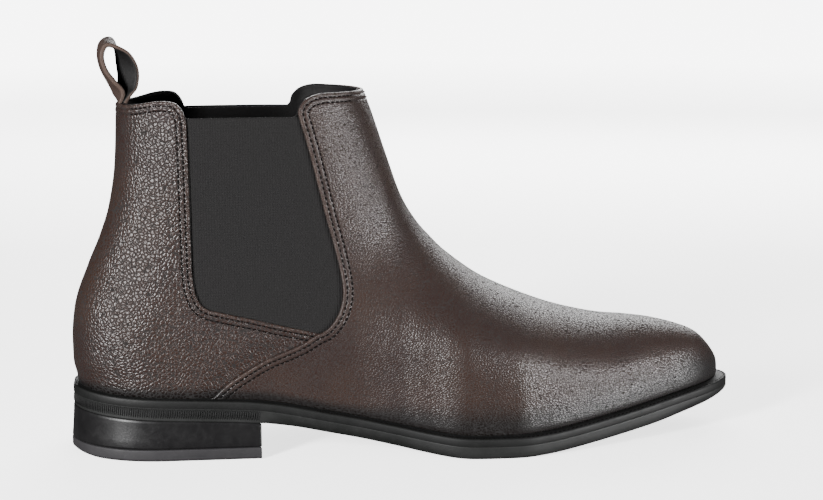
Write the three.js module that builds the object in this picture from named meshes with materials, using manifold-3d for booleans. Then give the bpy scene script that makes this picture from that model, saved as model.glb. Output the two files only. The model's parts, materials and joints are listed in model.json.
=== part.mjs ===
// Chelsea boot, right foot, in millimetres. +X points to the toe, +Y to the inner (medial) side
// and +Z up. The outsole's ball and the heel's top lift stand on z = 0, and the whole boot is
// centred on x = 0, y = 0. The upper is drawn as one last surface; every leather, elastic, board
// and lining piece is a layer of that surface, cut to its pattern piece seen from the side.
import * as THREE from 'three';
import { mergeVertices } from 'three/addons/utils/BufferGeometryUtils.js';
import Module from 'manifold-3d';

const wasm = await Module();
wasm.setup();

// Overall sizes
const LAST_LENGTH = 297.6; // upper's foot, back of the heel to the toe tip
const BALL_WIDTH = 88; // last, across the ball of the foot
const UPPER_HEIGHT = 150.5; // top of the sole at the ball to the front of the collar
const SHAFT_WIDTH = 56; // upper, across the collar

// Thicknesses of the layers of the upper, from the outside in
const LEATHER = 2;
const GORE = 1.4;
const STIFFENER = 1.2;
const LINING = 1.2;
const STRAP = 2.2;

// Sole and heel
const WELT = 3.3;
const OUTSOLE = 5.9;
const INSOLE_BOARD = 2.2;
const FOOTBED = 3;
const TOP_LIFT = 5.3;
const WELT_REACH = 4.6; // welt beyond the upper at the forefoot
const SEAT_REACH = 2.4; // welt beyond the upper round the heel
const WELT_INSIDE = 7.5; // welt inside the upper's foot
const HEEL_LENGTH = 82.5; // back of the heel to its breast
const HEEL_FLARE = 1.2; // the heel's foot beyond its seat
const BREAST_HOLLOW = 4; // depth of the curve in the heel's breast
const SHANK_LENGTH = 98;
const SHANK_WIDTH = 13;
const SHANK_THICKNESS = 1.6;
const SHANK_BACK = 38; // back of the upper to the shank's back end

// Fixings
const NAIL_RADIUS = 1.1;
const NAIL_HEAD_RADIUS = 2.6;
const NAIL_HEAD = 0.8;
const NAIL_DEPTH = 12; // into the heel block
const PIN_RADIUS = 1;
const PIN_LENGTH = 9;
const PIN_IN_LIFT = 3;

// Pull loop
const STRAP_WIDTH = 12.5;
const LOOP_BASE_RADIUS = 2.5; // the folded base that the loop bends about
const LOOP_TAIL = 17; // skived ends of the strap, sewn in between leather and lining

// Fits
const GAP = 0.3; // between pieces that are sewn, cemented or seated together
const INSOLE_EASE = 1.2; // insole board and footbed inside the lining
const GORE_ALLOWANCE = 8; // elastic hidden under the leather round its window
const LINING_STAND = 0.8; // lining above the leather at the collar

// Pattern of the last, as drawn for the sizes above. x runs from heel to toe and h is the height
// above the sole's top at the ball. Grading stretches these to the overall sizes.
const PLAN_EDGE = [ // x, outer edge, inner edge of the upper's foot, before its ends are rounded
  [-149, 30, 30], [-95, 31, 30.5], [-60, 30.5, 28.5], [-31, 31, 27], [-7.5, 35.5, 30.5],
  [5, 39.5, 34], [24, 45.5, 39], [44, 46, 42], [58.5, 43, 42], [73, 38.3, 40], [88, 33, 37],
  [103.5, 27, 32], [119.5, 20, 25.5], [128, 16, 21.5], [137, 11, 17.5], [148.5, 4, 14],
];
const SOLE_RISE = [ // x, height of the sole above its flat ball
  [-153, 20.5], [-130, 19], [-100, 17.6], [-68, 16], [-51, 12.8], [-31, 8.5], [-8, 4.2],
  [10, 1], [24, 0], [50, 0], [66, 1.2], [82, 3.2], [110, 7.2], [136, 11], [153, 12.3],
];
const BACK_PROFILE = [ // h, x
  [14, -147.8], [23.7, -148.8], [31.5, -150.3], [40.8, -150.4], [54.6, -149.1], [72.7, -142.8],
  [86.1, -137.1], [99.6, -132.7], [117.5, -129.6], [130.8, -128.7], [154, -127.8],
];
const FRONT_PROFILE = [ // x, h, from the toe up to the collar
  [148.7, 13], [147.4, 21.5], [140, 31], [132.2, 35.8], [117.7, 40.1], [103.3, 42.3],
  [89, 43.8], [67.5, 49.3], [46.3, 57.8], [32.2, 65], [18.2, 75.4], [11.3, 82.2], [4.5, 90.2],
  [-2.4, 102.2], [-9.2, 121.5], [-15.9, 141.5], [-21.5, 156],
];
const FRONT_ROUNDING = [ // x, how far in from the ridge the upper reaches its full width
  [-60, 47], [-20, 46], [0, 41], [30, 39], [70, 37], [100, 31], [120, 25], [135, 17], [149, 12],
];
const BACK_ROUNDING = [[14, 41], [50, 37], [90, 38], [154, 45]]; // h, the same from the back
const ANKLE_HEIGHT = [35, 95]; // h between which the foot's width turns into the shaft's

// Pattern pieces in side view, x and h
const GORE_WINDOW = [
  [-97.8, 140.3], [-97.3, 105.9], [-96.6, 68.5], [-92.7, 58.8], [-84, 55.6], [-70.4, 52.3],
  [-46.7, 46.3], [-37.6, 47.6], [-32.6, 54.5], [-31.2, 64.5], [-33.6, 79], [-38.1, 96.5],
  [-45.5, 127], [-49.5, 140.3],
];
const SEAM = [ // vamp over quarter, from the gore's lower front corner down to the sole
  [-43.5, 44.6], [-51.1, 39.8], [-66.4, 33.5], [-80.9, 24.7], [-88.5, 18], [-99, 6],
];
const QUARTER_COLLAR = [[-101.8, 146.9], [-106.5, 147.8], [-112, 147.4], [-119, 145.8], [-128, 145.4]];
const VAMP_COLLAR = [[-49.3, 143.6], [-45.6, 148.4], [-39, 150.4], [-19.8, 150.5]];
const COUNTER_EDGE = [[-66, 4], [-73, 26], [-90, 38], [-108, 52], [-113, 70], [-122, 78]];
const TOE_PUFF_BACK = 104;
const LOOP_LINE = [ // the strap's middle line, from its base round the loop and back
  [-125.8, 150], [-131.8, 157.2], [-133.8, 166], [-131.6, 172.3], [-128, 173.6],
  [-123.6, 170.4], [-120.2, 164.2], [-119.6, 157.2], [-123, 150],
];
const LOOP_PIVOT = [-124.5, 149.7]; // x, h of the line that the loop bends about

// Mesh density
const ROWS = 14;
const STATIONS = 22; // along the boot, shared by the upper and the sole so that they follow alike
const ROUND_SIDES = 8;
const FAR = 400; // reach of a cutting prism past the boot

const MATERIALS = {
  leather: new THREE.MeshStandardMaterial({ color: 0x4b3d38, roughness: 0.5, metalness: 0 }),
  gore: new THREE.MeshStandardMaterial({ color: 0x312e2f, roughness: 0.9, metalness: 0 }),
  lining: new THREE.MeshStandardMaterial({ color: 0x151313, roughness: 0.85, metalness: 0 }),
  board: new THREE.MeshStandardMaterial({ color: 0xa58a66, roughness: 0.9, metalness: 0 }),
  cork: new THREE.MeshStandardMaterial({ color: 0x8c6a45, roughness: 0.95, metalness: 0 }),
  steel: new THREE.MeshStandardMaterial({ color: 0xa8aaac, roughness: 0.35, metalness: 1 }),
  welt: new THREE.MeshStandardMaterial({ color: 0x33302f, roughness: 0.6, metalness: 0 }),
  rubber: new THREE.MeshStandardMaterial({ color: 0x2b2a2a, roughness: 0.7, metalness: 0 }),
  lift: new THREE.MeshStandardMaterial({ color: 0x454244, roughness: 0.75, metalness: 0 }),
};

// ---- Curves ----

// Smooth line through [x, ...values] stations that never overshoots them
function line(stations, column = 1) {
  const xs = stations.map((station) => station[0]);
  const ys = stations.map((station) => station[column]);
  const slopes = xs.slice(1).map((x, i) => (ys[i + 1] - ys[i]) / (x - xs[i]));
  const tangents = ys.map((_, i) => {
    const before = slopes[Math.max(i - 1, 0)];
    const after = slopes[Math.min(i, slopes.length - 1)];
    return before * after <= 0 ? 0 : (2 * before * after) / (before + after);
  });
  return (x) => {
    if (x <= xs[0]) return ys[0] + tangents[0] * (x - xs[0]);
    const last = xs.length - 1;
    if (x >= xs[last]) return ys[last] + tangents[last] * (x - xs[last]);
    const i = xs.findIndex((station) => station > x) - 1;
    const step = xs[i + 1] - xs[i];
    const u = (x - xs[i]) / step;
    const rise = (3 - 2 * u) * u * u;
    const lean = u * (1 - u) * step;
    return ys[i] + (ys[i + 1] - ys[i]) * rise
      + lean * ((1 - u) * tangents[i] - u * tangents[i + 1]);
  };
}

const smooth = (u) => THREE.MathUtils.smoothstep(u, 0, 1);
const spread = (stations, column) => Math.max(...stations.map((station) => station[column]));

// Grading of the pattern to the overall sizes
const lengthGrade = LAST_LENGTH / (FRONT_PROFILE[0][0] - BACK_PROFILE[0][1]);
const heightGrade = UPPER_HEIGHT / spread(VAMP_COLLAR, 1);
const widthGrade = BALL_WIDTH / (spread(PLAN_EDGE, 1) + spread(PLAN_EDGE, 2));
const SOLE_TOP = OUTSOLE + GAP + WELT;
const gradeX = (x) => x * lengthGrade;
const gradeZ = (h) => SOLE_TOP + h * heightGrade;
const gradePoint = ([x, h]) => new THREE.Vector2(gradeX(x), gradeZ(h));

const outerEdge = line(PLAN_EDGE.map(([x, outer]) => [gradeX(x), outer * widthGrade]));
const innerEdge = line(PLAN_EDGE.map(([x, , inner]) => [gradeX(x), inner * widthGrade]));
const soleRise = line(SOLE_RISE.map(([x, rise]) => [gradeX(x), rise * heightGrade]));
const backX = line(BACK_PROFILE.map(([h, x]) => [gradeZ(h), gradeX(x)]));
const frontRounding = line(FRONT_ROUNDING.map(([x, reach]) => [gradeX(x), reach * widthGrade]));
const backRounding = line(BACK_ROUNDING.map(([h, reach]) => [gradeZ(h), reach * widthGrade]));
const frontPoints = FRONT_PROFILE.map(gradePoint);
const toeX = frontPoints[0].x;
const backTop = gradeZ(BACK_PROFILE[BACK_PROFILE.length - 1][0]);
const frontTop = frontPoints[frontPoints.length - 1].y;

// ---- The last surface ----

const soleLine = (x) => soleRise(x) + SOLE_TOP;
const footLine = (x) => soleLine(x) + GAP;
const heelX = gradeX(BACK_PROFILE[0][1]);
const frontCurve = new THREE.SplineCurve([new THREE.Vector2(toeX, footLine(toeX)), ...frontPoints]);
const frontLine = frontCurve.getSpacedPoints(90);
const backLine = Array.from({ length: 61 }, (_, i) => {
  const z = THREE.MathUtils.lerp(footLine(heelX), backTop, i / 60);
  return new THREE.Vector2(backX(z), z);
});

function distanceTo(points, x, z) {
  let best = Infinity;
  for (let i = 1; i < points.length; i += 1) {
    const along = points[i].clone().sub(points[i - 1]);
    const offset = new THREE.Vector2(x, z).sub(points[i - 1]);
    const share = THREE.MathUtils.clamp(offset.dot(along) / along.lengthSq(), 0, 1);
    best = Math.min(best, offset.sub(along.multiplyScalar(share)).length());
  }
  return best;
}

const rounded = (u) => Math.sqrt(1 - (1 - Math.min(u, 1)) ** 2);

// Where the last surface lies at (x, z), on the outer side (side = -1) or the inner (side = 1)
function lastY(side, x, z) {
  const middle = (innerEdge(x) - outerEdge(x)) / 2;
  const foot = (innerEdge(x) + outerEdge(x)) / 2;
  const [low, high] = ANKLE_HEIGHT.map(gradeZ);
  const ankle = smooth((z - low) / (high - low));
  const half = THREE.MathUtils.lerp(foot, SHAFT_WIDTH / 2, ankle);
  const front = rounded(distanceTo(frontLine, x, z) / frontRounding(x));
  const back = rounded(distanceTo(backLine, x, z) / backRounding(z));
  return middle * (1 - ankle) + side * half * front * back;
}

// Side-view point of the last: t runs from below the sole line up to past the collar,
// q from the back to the front
function sidePoint(t, q) {
  const back = backLine[0].clone().lerp(backLine[60], t);
  back.x = backX(back.y);
  const front = frontCurve.getPointAt(t);
  const x = THREE.MathUtils.lerp(heelX, toeX, q);
  const bottom = new THREE.Vector2(x, footLine(x));
  const top = backLine[60].clone().lerp(frontPoints[frontPoints.length - 1], q);
  const corners = backLine[0].clone().lerp(new THREE.Vector2(toeX, footLine(toeX)), q)
    .lerp(top, t);
  return bottom.lerp(top, t).add(back.lerp(front, q)).sub(corners);
}

function lastPoint(t, turn) {
  const side = turn < 1 ? -1 : 1;
  const q = (1 - Math.cos(Math.PI * turn)) / 2;
  const point = sidePoint(t, q);
  return new THREE.Vector3(point.x, lastY(side, point.x, point.y), point.y);
}

const ringSize = 2 * STATIONS;
const lastRings = Array.from({ length: ROWS + 1 }, (_, i) => {
  const t = (i / ROWS) ** 1.25;
  return Array.from({ length: ringSize }, (_, j) => lastPoint(t, j / STATIONS));
});
const lastNormals = lastRings.map((ring, i) => ring.map((_, j) => {
  const above = lastRings[Math.min(i + 1, ROWS)][j];
  const below = lastRings[Math.max(i - 1, 0)][j];
  const ahead = ring[(j + 1) % ringSize];
  const behind = ring[(j + ringSize - 1) % ringSize];
  return ahead.clone().sub(behind).cross(above.clone().sub(below)).normalize();
}));

// ---- Solids ----

function solid(geometry) {
  const bare = geometry.clone();
  bare.deleteAttribute('normal');
  bare.deleteAttribute('uv');
  const merged = mergeVertices(bare, 1e-4);
  const index = merged.index.array;
  const kept = [];
  for (let i = 0; i < index.length; i += 3) {
    const [a, b, c] = [index[i], index[i + 1], index[i + 2]];
    if (a !== b && b !== c && c !== a) kept.push(a, b, c);
  }
  return new wasm.Manifold(new wasm.Mesh({
    numProp: 3,
    vertProperties: new Float32Array(merged.attributes.position.array),
    triVerts: new Uint32Array(kept),
  }));
}

// Closed skin of a stack of equal rings of points. A looped stack joins its last ring to its
// first, and any other is capped at both ends. Each quad is split along its shorter diagonal, so
// that layers at different depths bend alike.
function ringSolid(rings, looped = false) {
  const count = rings[0].length;
  const points = rings.flat();
  const geometry = new THREE.BufferGeometry().setFromPoints(points);
  const index = [];
  const bands = looped ? rings.length : rings.length - 1;
  for (let i = 0; i < bands; i += 1) {
    const next = (i + 1) % rings.length;
    for (let j = 0; j < count; j += 1) {
      const beside = (j + 1) % count;
      const [a, b] = [i * count + j, i * count + beside];
      const [c, d] = [next * count + beside, next * count + j];
      const falling = points[a].distanceTo(points[c]) < points[b].distanceTo(points[d]);
      index.push(...(falling ? [a, b, c, a, c, d] : [a, b, d, b, c, d]));
    }
  }
  const end = (rings.length - 1) * count;
  for (let j = 1; !looped && j < count - 1; j += 1) {
    index.push(0, j + 1, j, end, end + j, end + j + 1);
  }
  geometry.setIndex(index);
  return solid(geometry);
}

// The layer of the last between two depths below its surface
function layer(outside, inside) {
  const atDepth = (depth) => lastRings.map((ring, i) => ring.map((point, j) => {
    const moved = point.clone().addScaledVector(lastNormals[i][j], -depth);
    if (i === 0) moved.z = footLine(moved.x);
    return moved;
  }));
  return ringSolid([...atDepth(outside), ...atDepth(inside).reverse()], true);
}

// Side-view outline carried straight across the boot, between two y
function sidePrism(points, from = -FAR, to = FAR) {
  const shape = new THREE.Shape(points);
  const geometry = new THREE.ExtrudeGeometry(shape, { depth: to - from, bevelEnabled: false });
  geometry.rotateX(Math.PI / 2);
  geometry.translate(0, to, 0);
  return solid(geometry);
}

// Plan outline carried straight up, between two z
function planPrism(points, from = -FAR, to = FAR) {
  const shape = new THREE.Shape(points);
  const geometry = new THREE.ExtrudeGeometry(shape, { depth: to - from, bevelEnabled: false });
  geometry.translate(0, 0, from);
  return solid(geometry);
}

function rod(x, y, from, to, radius) {
  const geometry = new THREE.CylinderGeometry(radius, radius, to - from, ROUND_SIDES);
  geometry.rotateX(Math.PI / 2);
  geometry.translate(x, y, (from + to) / 2);
  return solid(geometry);
}

// Outline of the upper's foot, moved out by reach(x); each station has an outer and inner point
function footprint(reach) {
  const onEdge = (turn) => {
    const x = THREE.MathUtils.lerp(heelX, toeX, (1 - Math.cos(Math.PI * turn)) / 2);
    return new THREE.Vector2(x, lastY(turn < 1 ? -1 : 1, x, footLine(x)));
  };
  const moved = (turn) => {
    const nudge = 0.5 / STATIONS;
    const run = onEdge((turn + nudge + 2) % 2).sub(onEdge((turn - nudge + 2) % 2)).normalize();
    const point = onEdge(turn % 2);
    return point.add(new THREE.Vector2(run.y, -run.x).multiplyScalar(reach(point.x)));
  };
  return Array.from({ length: STATIONS + 1 }, (_, i) => {
    const turn = i / STATIONS;
    return { outer: moved(turn), inner: moved(2 - turn) };
  });
}

// Slab of the sole between two heights, over one footprint on top and another below
function slab(topPrint, topZ, bottomPrint, bottomZ) {
  const corner = (point, height) => new THREE.Vector3(point.x, point.y, height(point.x));
  return ringSolid(topPrint.map((top, i) => [
    corner(bottomPrint[i].outer, bottomZ),
    corner(bottomPrint[i].inner, bottomZ),
    corner(top.inner, topZ),
    corner(top.outer, topZ),
  ]));
}

const evenReach = (amount) => () => amount;
const soleReach = (x) => THREE.MathUtils.lerp(SEAT_REACH, WELT_REACH, smooth((x + 110) / 80));

// ---- Upper ----

const GORE_LAYER = LEATHER + GAP;
const LINING_LAYER = GORE_LAYER + Math.max(GORE, STIFFENER) + GAP;
const UPPER_DEPTH = LINING_LAYER + LINING;

const raised = (points, lift) => points.map((point) => new THREE.Vector2(point.x, point.y + lift));

// A curved outline through points
const curved = (points, pieces = 3) => new THREE.SplineCurve(points).getPoints(pieces * points.length);

// Grown or shrunk copy of an outline that is drawn in order
function offsetLine(points, amount) {
  return points.map((point, i) => {
    const run = points[Math.min(i + 1, points.length - 1)].clone()
      .sub(points[Math.max(i - 1, 0)]).normalize();
    return point.clone().add(new THREE.Vector2(-run.y, run.x).multiplyScalar(amount));
  });
}

const goreEdge = curved(GORE_WINDOW.map(gradePoint), 2);
const seamEdge = curved(SEAM.map(gradePoint), 1);

// The gore's outline belongs to the quarter up to the fork where the seam starts, then the vamp
const fork = goreEdge.findIndex((point) => point.x > seamEdge[0].x);

// Each outline shrinks by inset, and its collar is lifted by stand
function vampOutline(inset, stand) {
  const edge = [...goreEdge.slice(fork).reverse(), ...seamEdge];
  const foot = edge[edge.length - 1];
  return [
    ...raised(VAMP_COLLAR.slice().reverse().map(gradePoint), stand),
    ...offsetLine(edge, -inset),
    new THREE.Vector2(foot.x + inset, -FAR),
    new THREE.Vector2(FAR, -FAR),
    new THREE.Vector2(FAR, raised([gradePoint(VAMP_COLLAR[VAMP_COLLAR.length - 1])], stand)[0].y),
  ];
}

function quarterOutline(inset, stand) {
  const edge = [...goreEdge.slice(0, fork), ...seamEdge];
  const foot = edge[edge.length - 1];
  const collar = raised(QUARTER_COLLAR.slice().reverse().map(gradePoint), stand);
  return [
    new THREE.Vector2(-FAR, collar[0].y),
    ...collar,
    ...offsetLine(edge, -inset),
    new THREE.Vector2(foot.x - inset, -FAR),
    new THREE.Vector2(-FAR, -FAR),
  ];
}

const leatherLayer = layer(0, LEATHER);
const liningLayer = layer(LINING_LAYER, UPPER_DEPTH);
const stiffenerLayer = layer(GORE_LAYER, GORE_LAYER + STIFFENER);

const vamp = () => leatherLayer.intersect(sidePrism(vampOutline(0, 0)));
const vampLining = () => liningLayer.intersect(sidePrism(vampOutline(0, LINING_STAND)));
const quarter = () => leatherLayer.intersect(sidePrism(quarterOutline(GAP, 0)));
const quarterLining = () => liningLayer.intersect(sidePrism(quarterOutline(GAP, LINING_STAND)));

function gore(side) {
  const outline = offsetLine(goreEdge, -GORE_ALLOWANCE);
  const top = gradeZ(GORE_WINDOW[0][1]);
  const closed = outline.map((point) => new THREE.Vector2(point.x, Math.min(point.y, top)));
  const [from, to] = side < 0 ? [-FAR, 0] : [0, FAR];
  return layer(GORE_LAYER, GORE_LAYER + GORE).intersect(sidePrism(closed, from, to));
}

function heelCounter() {
  const edge = COUNTER_EDGE.map(gradePoint);
  const top = edge[edge.length - 1].y;
  const outline = [new THREE.Vector2(-FAR, -FAR), new THREE.Vector2(edge[0].x, -FAR), ...edge,
    new THREE.Vector2(-FAR, top)];
  return stiffenerLayer.intersect(sidePrism(outline));
}

function toePuff() {
  const back = gradeX(TOE_PUFF_BACK);
  const outline = [[back, -FAR], [FAR, -FAR], [FAR, FAR], [back, FAR]];
  return stiffenerLayer.intersect(sidePrism(outline.map(([x, z]) => new THREE.Vector2(x, z))));
}

// ---- Sole and heel ----

const solePrint = footprint(soleReach);
const cavityPrint = footprint(evenReach(-WELT_INSIDE));
const fillerPrint = footprint(evenReach(-WELT_INSIDE - GAP));
const insidePrint = footprint(evenReach(-UPPER_DEPTH - INSOLE_EASE));
const heelPrint = footprint((x) => soleReach(x) + HEEL_FLARE);

const outsoleTop = (x) => soleRise(x) + OUTSOLE;
const weltFoot = (x) => outsoleTop(x) + GAP;
const boardFoot = (x) => footLine(x);
const boardTop = (x) => boardFoot(x) + INSOLE_BOARD;
const heelBack = solePrint[0].outer.x;
const breastX = heelBack + HEEL_LENGTH;

function welt() {
  const ring = slab(solePrint, soleLine, solePrint, weltFoot);
  const hollow = slab(cavityPrint, (x) => soleLine(x) + WELT, cavityPrint, (x) => weltFoot(x) - WELT);
  return ring.subtract(hollow);
}

// Half of the sole on one side of a line across it
function across(x, forward) {
  const far = forward ? FAR : -FAR;
  const corners = [[x, -FAR], [far, -FAR], [far, FAR], [x, FAR]];
  const points = corners.map(([px, py]) => new THREE.Vector2(px, py));
  return planPrism(forward ? points : points.reverse());
}

const shankBack = backX(soleLine(heelX)) + SHANK_BACK;

// Bar along the waist that follows the sole's curve, with a clearance all round
function shankBar(clearance, height) {
  const half = SHANK_WIDTH / 2 + clearance;
  const stations = 12;
  return ringSolid(Array.from({ length: stations + 1 }, (_, i) => {
    const x = shankBack - clearance + (SHANK_LENGTH + 2 * clearance) * (i / stations);
    const low = weltFoot(x) + (WELT - height) / 2;
    const corners = [[-half, low], [half, low], [half, low + height], [-half, low + height]];
    return corners.map(([y, z]) => new THREE.Vector3(x, y, z));
  }));
}

const shank = () => shankBar(0, SHANK_THICKNESS);

// Filler inside the welt, open where the shank lies
function filler(forward) {
  const x = breastX + (forward ? GAP / 2 : -GAP / 2);
  const whole = slab(fillerPrint, soleLine, fillerPrint, (at) => weltFoot(at) + GAP);
  return whole.intersect(across(x, forward)).subtract(shankBar(GAP, 2 * WELT));
}

const insoleBoard = () => slab(insidePrint, boardTop, insidePrint, boardFoot);

function footbed() {
  const foot = (x) => boardTop(x) + GAP;
  return slab(insidePrint, (x) => foot(x) + FOOTBED, insidePrint, foot);
}

const outsole = () => slab(solePrint, outsoleTop, solePrint, soleRise);

// Heel-shaped cutter: everything behind the hollowed breast
function behindBreast() {
  const half = outerEdge(breastX) + SEAT_REACH + HEEL_FLARE;
  const hollow = new THREE.QuadraticBezierCurve(
    new THREE.Vector2(breastX, -half),
    new THREE.Vector2(breastX - 2 * BREAST_HOLLOW, 0),
    new THREE.Vector2(breastX, half),
  ).getPoints(8);
  const corners = [[breastX, FAR], [-FAR, FAR], [-FAR, -FAR], [breastX, -FAR]];
  return planPrism([...hollow, ...corners.map(([x, y]) => new THREE.Vector2(x, y))]);
}

function heelBlock() {
  const block = slab(solePrint, (x) => soleRise(x) - GAP, heelPrint, () => TOP_LIFT + GAP);
  return block.intersect(behindBreast());
}

function topLift() {
  return slab(heelPrint, () => TOP_LIFT, heelPrint, () => 0).intersect(behindBreast());
}

// ---- Heel fixings ----

const heelMiddle = heelBack + HEEL_LENGTH * 0.44;
const NAIL_PLACES = [[-24, 0], [-10, -15], [-10, 15], [14, -17], [14, 17]]; // from the heel's middle
const PIN_PLACES = [[-20, 9], [-20, -9], [24, -12], [24, 12]];

function nailSolid([x, y], clearance) {
  const top = boardTop(heelMiddle + x);
  const foot = soleRise(heelMiddle + x) - NAIL_DEPTH;
  const nailX = heelMiddle + x;
  const stem = rod(nailX, y, foot - clearance, top, NAIL_RADIUS + clearance);
  const head = rod(nailX, y, top - NAIL_HEAD - clearance, top, NAIL_HEAD_RADIUS + clearance);
  const spare = rod(nailX, y, top - NAIL_HEAD, top + WELT, NAIL_HEAD_RADIUS + clearance);
  return clearance > 0 ? stem.add(head).add(spare) : stem.add(head);
}

function pinSolid([x, y], clearance) {
  const foot = TOP_LIFT - PIN_IN_LIFT;
  const [from, to] = [foot - clearance, foot + PIN_LENGTH + clearance];
  return rod(heelMiddle + x, y, from, to, PIN_RADIUS + clearance);
}

const nailHoles = () => NAIL_PLACES.map((place) => nailSolid(place, GAP));
const pinHoles = () => PIN_PLACES.map((place) => pinSolid(place, GAP));
const drilled = (piece, holes) => holes.reduce((rest, hole) => rest.subtract(hole), piece);

// ---- Pull loop ----

const [pivotX, pivotZ] = [gradeX(LOOP_PIVOT[0]), gradeZ(LOOP_PIVOT[1])];

function pullLoop() {
  const middle = new THREE.SplineCurve(LOOP_LINE.map(gradePoint)).getPoints(40);
  const outline = [...offsetLine(middle, STRAP / 2), ...offsetLine(middle, -STRAP / 2).reverse()];
  const half = STRAP_WIDTH / 2;
  const base = new THREE.CylinderGeometry(LOOP_BASE_RADIUS, LOOP_BASE_RADIUS, STRAP_WIDTH, 20);
  base.translate(pivotX, 0, pivotZ);
  return sidePrism(outline, -half, half).add(solid(base));
}

function loopTail() {
  const top = pivotZ - LOOP_BASE_RADIUS - GAP;
  const inside = gradeX(LOOP_PIVOT[0]) + UPPER_DEPTH;
  const corners = [[-FAR, top - LOOP_TAIL], [inside, top - LOOP_TAIL], [inside, top], [-FAR, top]];
  const block = corners.map(([x, z]) => new THREE.Vector2(x, z));
  const half = STRAP_WIDTH / 2;
  return layer(GORE_LAYER, GORE_LAYER + GORE).intersect(sidePrism(block, -half, half));
}

// ---- Assembly ----

const PIECES = [
  ['vamp', vamp(), 'leather'],
  ['quarter', quarter(), 'leather'],
  ['gore_lateral', gore(-1), 'gore'],
  ['gore_medial', gore(1), 'gore'],
  ['vamp_lining', vampLining(), 'lining'],
  ['quarter_lining', quarterLining(), 'lining'],
  ['heel_counter', heelCounter(), 'board'],
  ['toe_puff', toePuff(), 'board'],
  ['footbed', footbed(), 'lining'],
  ['insole_board', drilled(insoleBoard(), nailHoles()), 'board'],
  ['shank', shank(), 'steel'],
  ['forefoot_filler', filler(true), 'cork'],
  ['heel_filler', drilled(filler(false), nailHoles()), 'cork'],
  ['welt', welt(), 'welt'],
  ['outsole', drilled(outsole(), nailHoles()), 'rubber'],
  ['heel_block', drilled(heelBlock(), [...nailHoles(), ...pinHoles()]), 'rubber'],
  ['top_lift', drilled(topLift(), pinHoles()), 'lift'],
  ...NAIL_PLACES.map((place, i) => [`heel_nail_${i + 1}`, nailSolid(place, 0), 'steel']),
  ...PIN_PLACES.map((place, i) => [`lift_pin_${i + 1}`, pinSolid(place, 0), 'steel']),
  ['loop_tail', loopTail(), 'leather'],
  ['pull_loop', pullLoop(), 'leather'],
];

function meshOf([name, piece, material]) {
  const { vertProperties, triVerts } = piece.getMesh();
  const geometry = new THREE.BufferGeometry();
  geometry.setAttribute('position', new THREE.BufferAttribute(vertProperties, 3));
  geometry.setIndex(new THREE.BufferAttribute(triVerts, 1));
  geometry.computeVertexNormals();
  const mesh = new THREE.Mesh(geometry, MATERIALS[material]);
  mesh.name = name;
  return mesh;
}

const boot = new THREE.Group();
boot.name = 'chelsea_boot';
PIECES.forEach((piece) => boot.add(meshOf(piece)));
const middle = new THREE.Box3().setFromObject(boot).getCenter(new THREE.Vector3());
boot.position.set(-middle.x, -middle.y, 0);

export default boot;
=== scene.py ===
import json
import math

import bmesh
import bpy
import numpy as np
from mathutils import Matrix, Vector


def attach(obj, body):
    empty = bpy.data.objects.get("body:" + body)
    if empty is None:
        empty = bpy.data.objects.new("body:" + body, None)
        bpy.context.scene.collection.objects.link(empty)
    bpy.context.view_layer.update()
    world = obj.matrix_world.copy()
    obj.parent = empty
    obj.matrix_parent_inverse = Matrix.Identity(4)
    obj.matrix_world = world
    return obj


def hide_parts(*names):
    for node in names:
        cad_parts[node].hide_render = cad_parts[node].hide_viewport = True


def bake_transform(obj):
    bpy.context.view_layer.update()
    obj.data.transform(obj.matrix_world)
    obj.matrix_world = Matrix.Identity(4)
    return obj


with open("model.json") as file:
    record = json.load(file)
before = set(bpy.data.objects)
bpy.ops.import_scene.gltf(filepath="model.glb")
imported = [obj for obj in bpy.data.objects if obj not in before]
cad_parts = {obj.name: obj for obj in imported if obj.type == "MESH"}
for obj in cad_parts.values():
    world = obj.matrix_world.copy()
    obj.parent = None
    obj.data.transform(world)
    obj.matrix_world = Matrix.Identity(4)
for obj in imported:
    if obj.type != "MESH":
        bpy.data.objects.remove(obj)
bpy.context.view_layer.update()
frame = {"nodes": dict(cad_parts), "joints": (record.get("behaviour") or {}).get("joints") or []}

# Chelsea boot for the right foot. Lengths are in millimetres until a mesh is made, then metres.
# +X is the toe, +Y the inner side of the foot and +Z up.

MM = 0.001
SCENE = bpy.context.scene


# ---------------------------------------------------------------------------------------------
# Camera: a little above the collar and 0.8 m away, nearly square to the boot's outer side, from
# slightly behind its middle.
CAMERA_PLACE = Vector((-105.75, -815.4, 242.5)) * MM
CAMERA_TARGET = Vector((1.85, 2.02, 85.4)) * MM
CAMERA_LENS = 80.5

camera = bpy.data.objects.new("camera", bpy.data.cameras.new("camera"))
camera.data.lens = CAMERA_LENS
camera.data.sensor_width = 36
camera.data.clip_start = 0.05
camera.data.clip_end = 20
camera.location = CAMERA_PLACE
camera.rotation_mode = "QUATERNION"
camera.rotation_quaternion = (CAMERA_TARGET - CAMERA_PLACE).to_track_quat("-Z", "Y")
SCENE.collection.objects.link(camera)
SCENE.camera = camera


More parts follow.
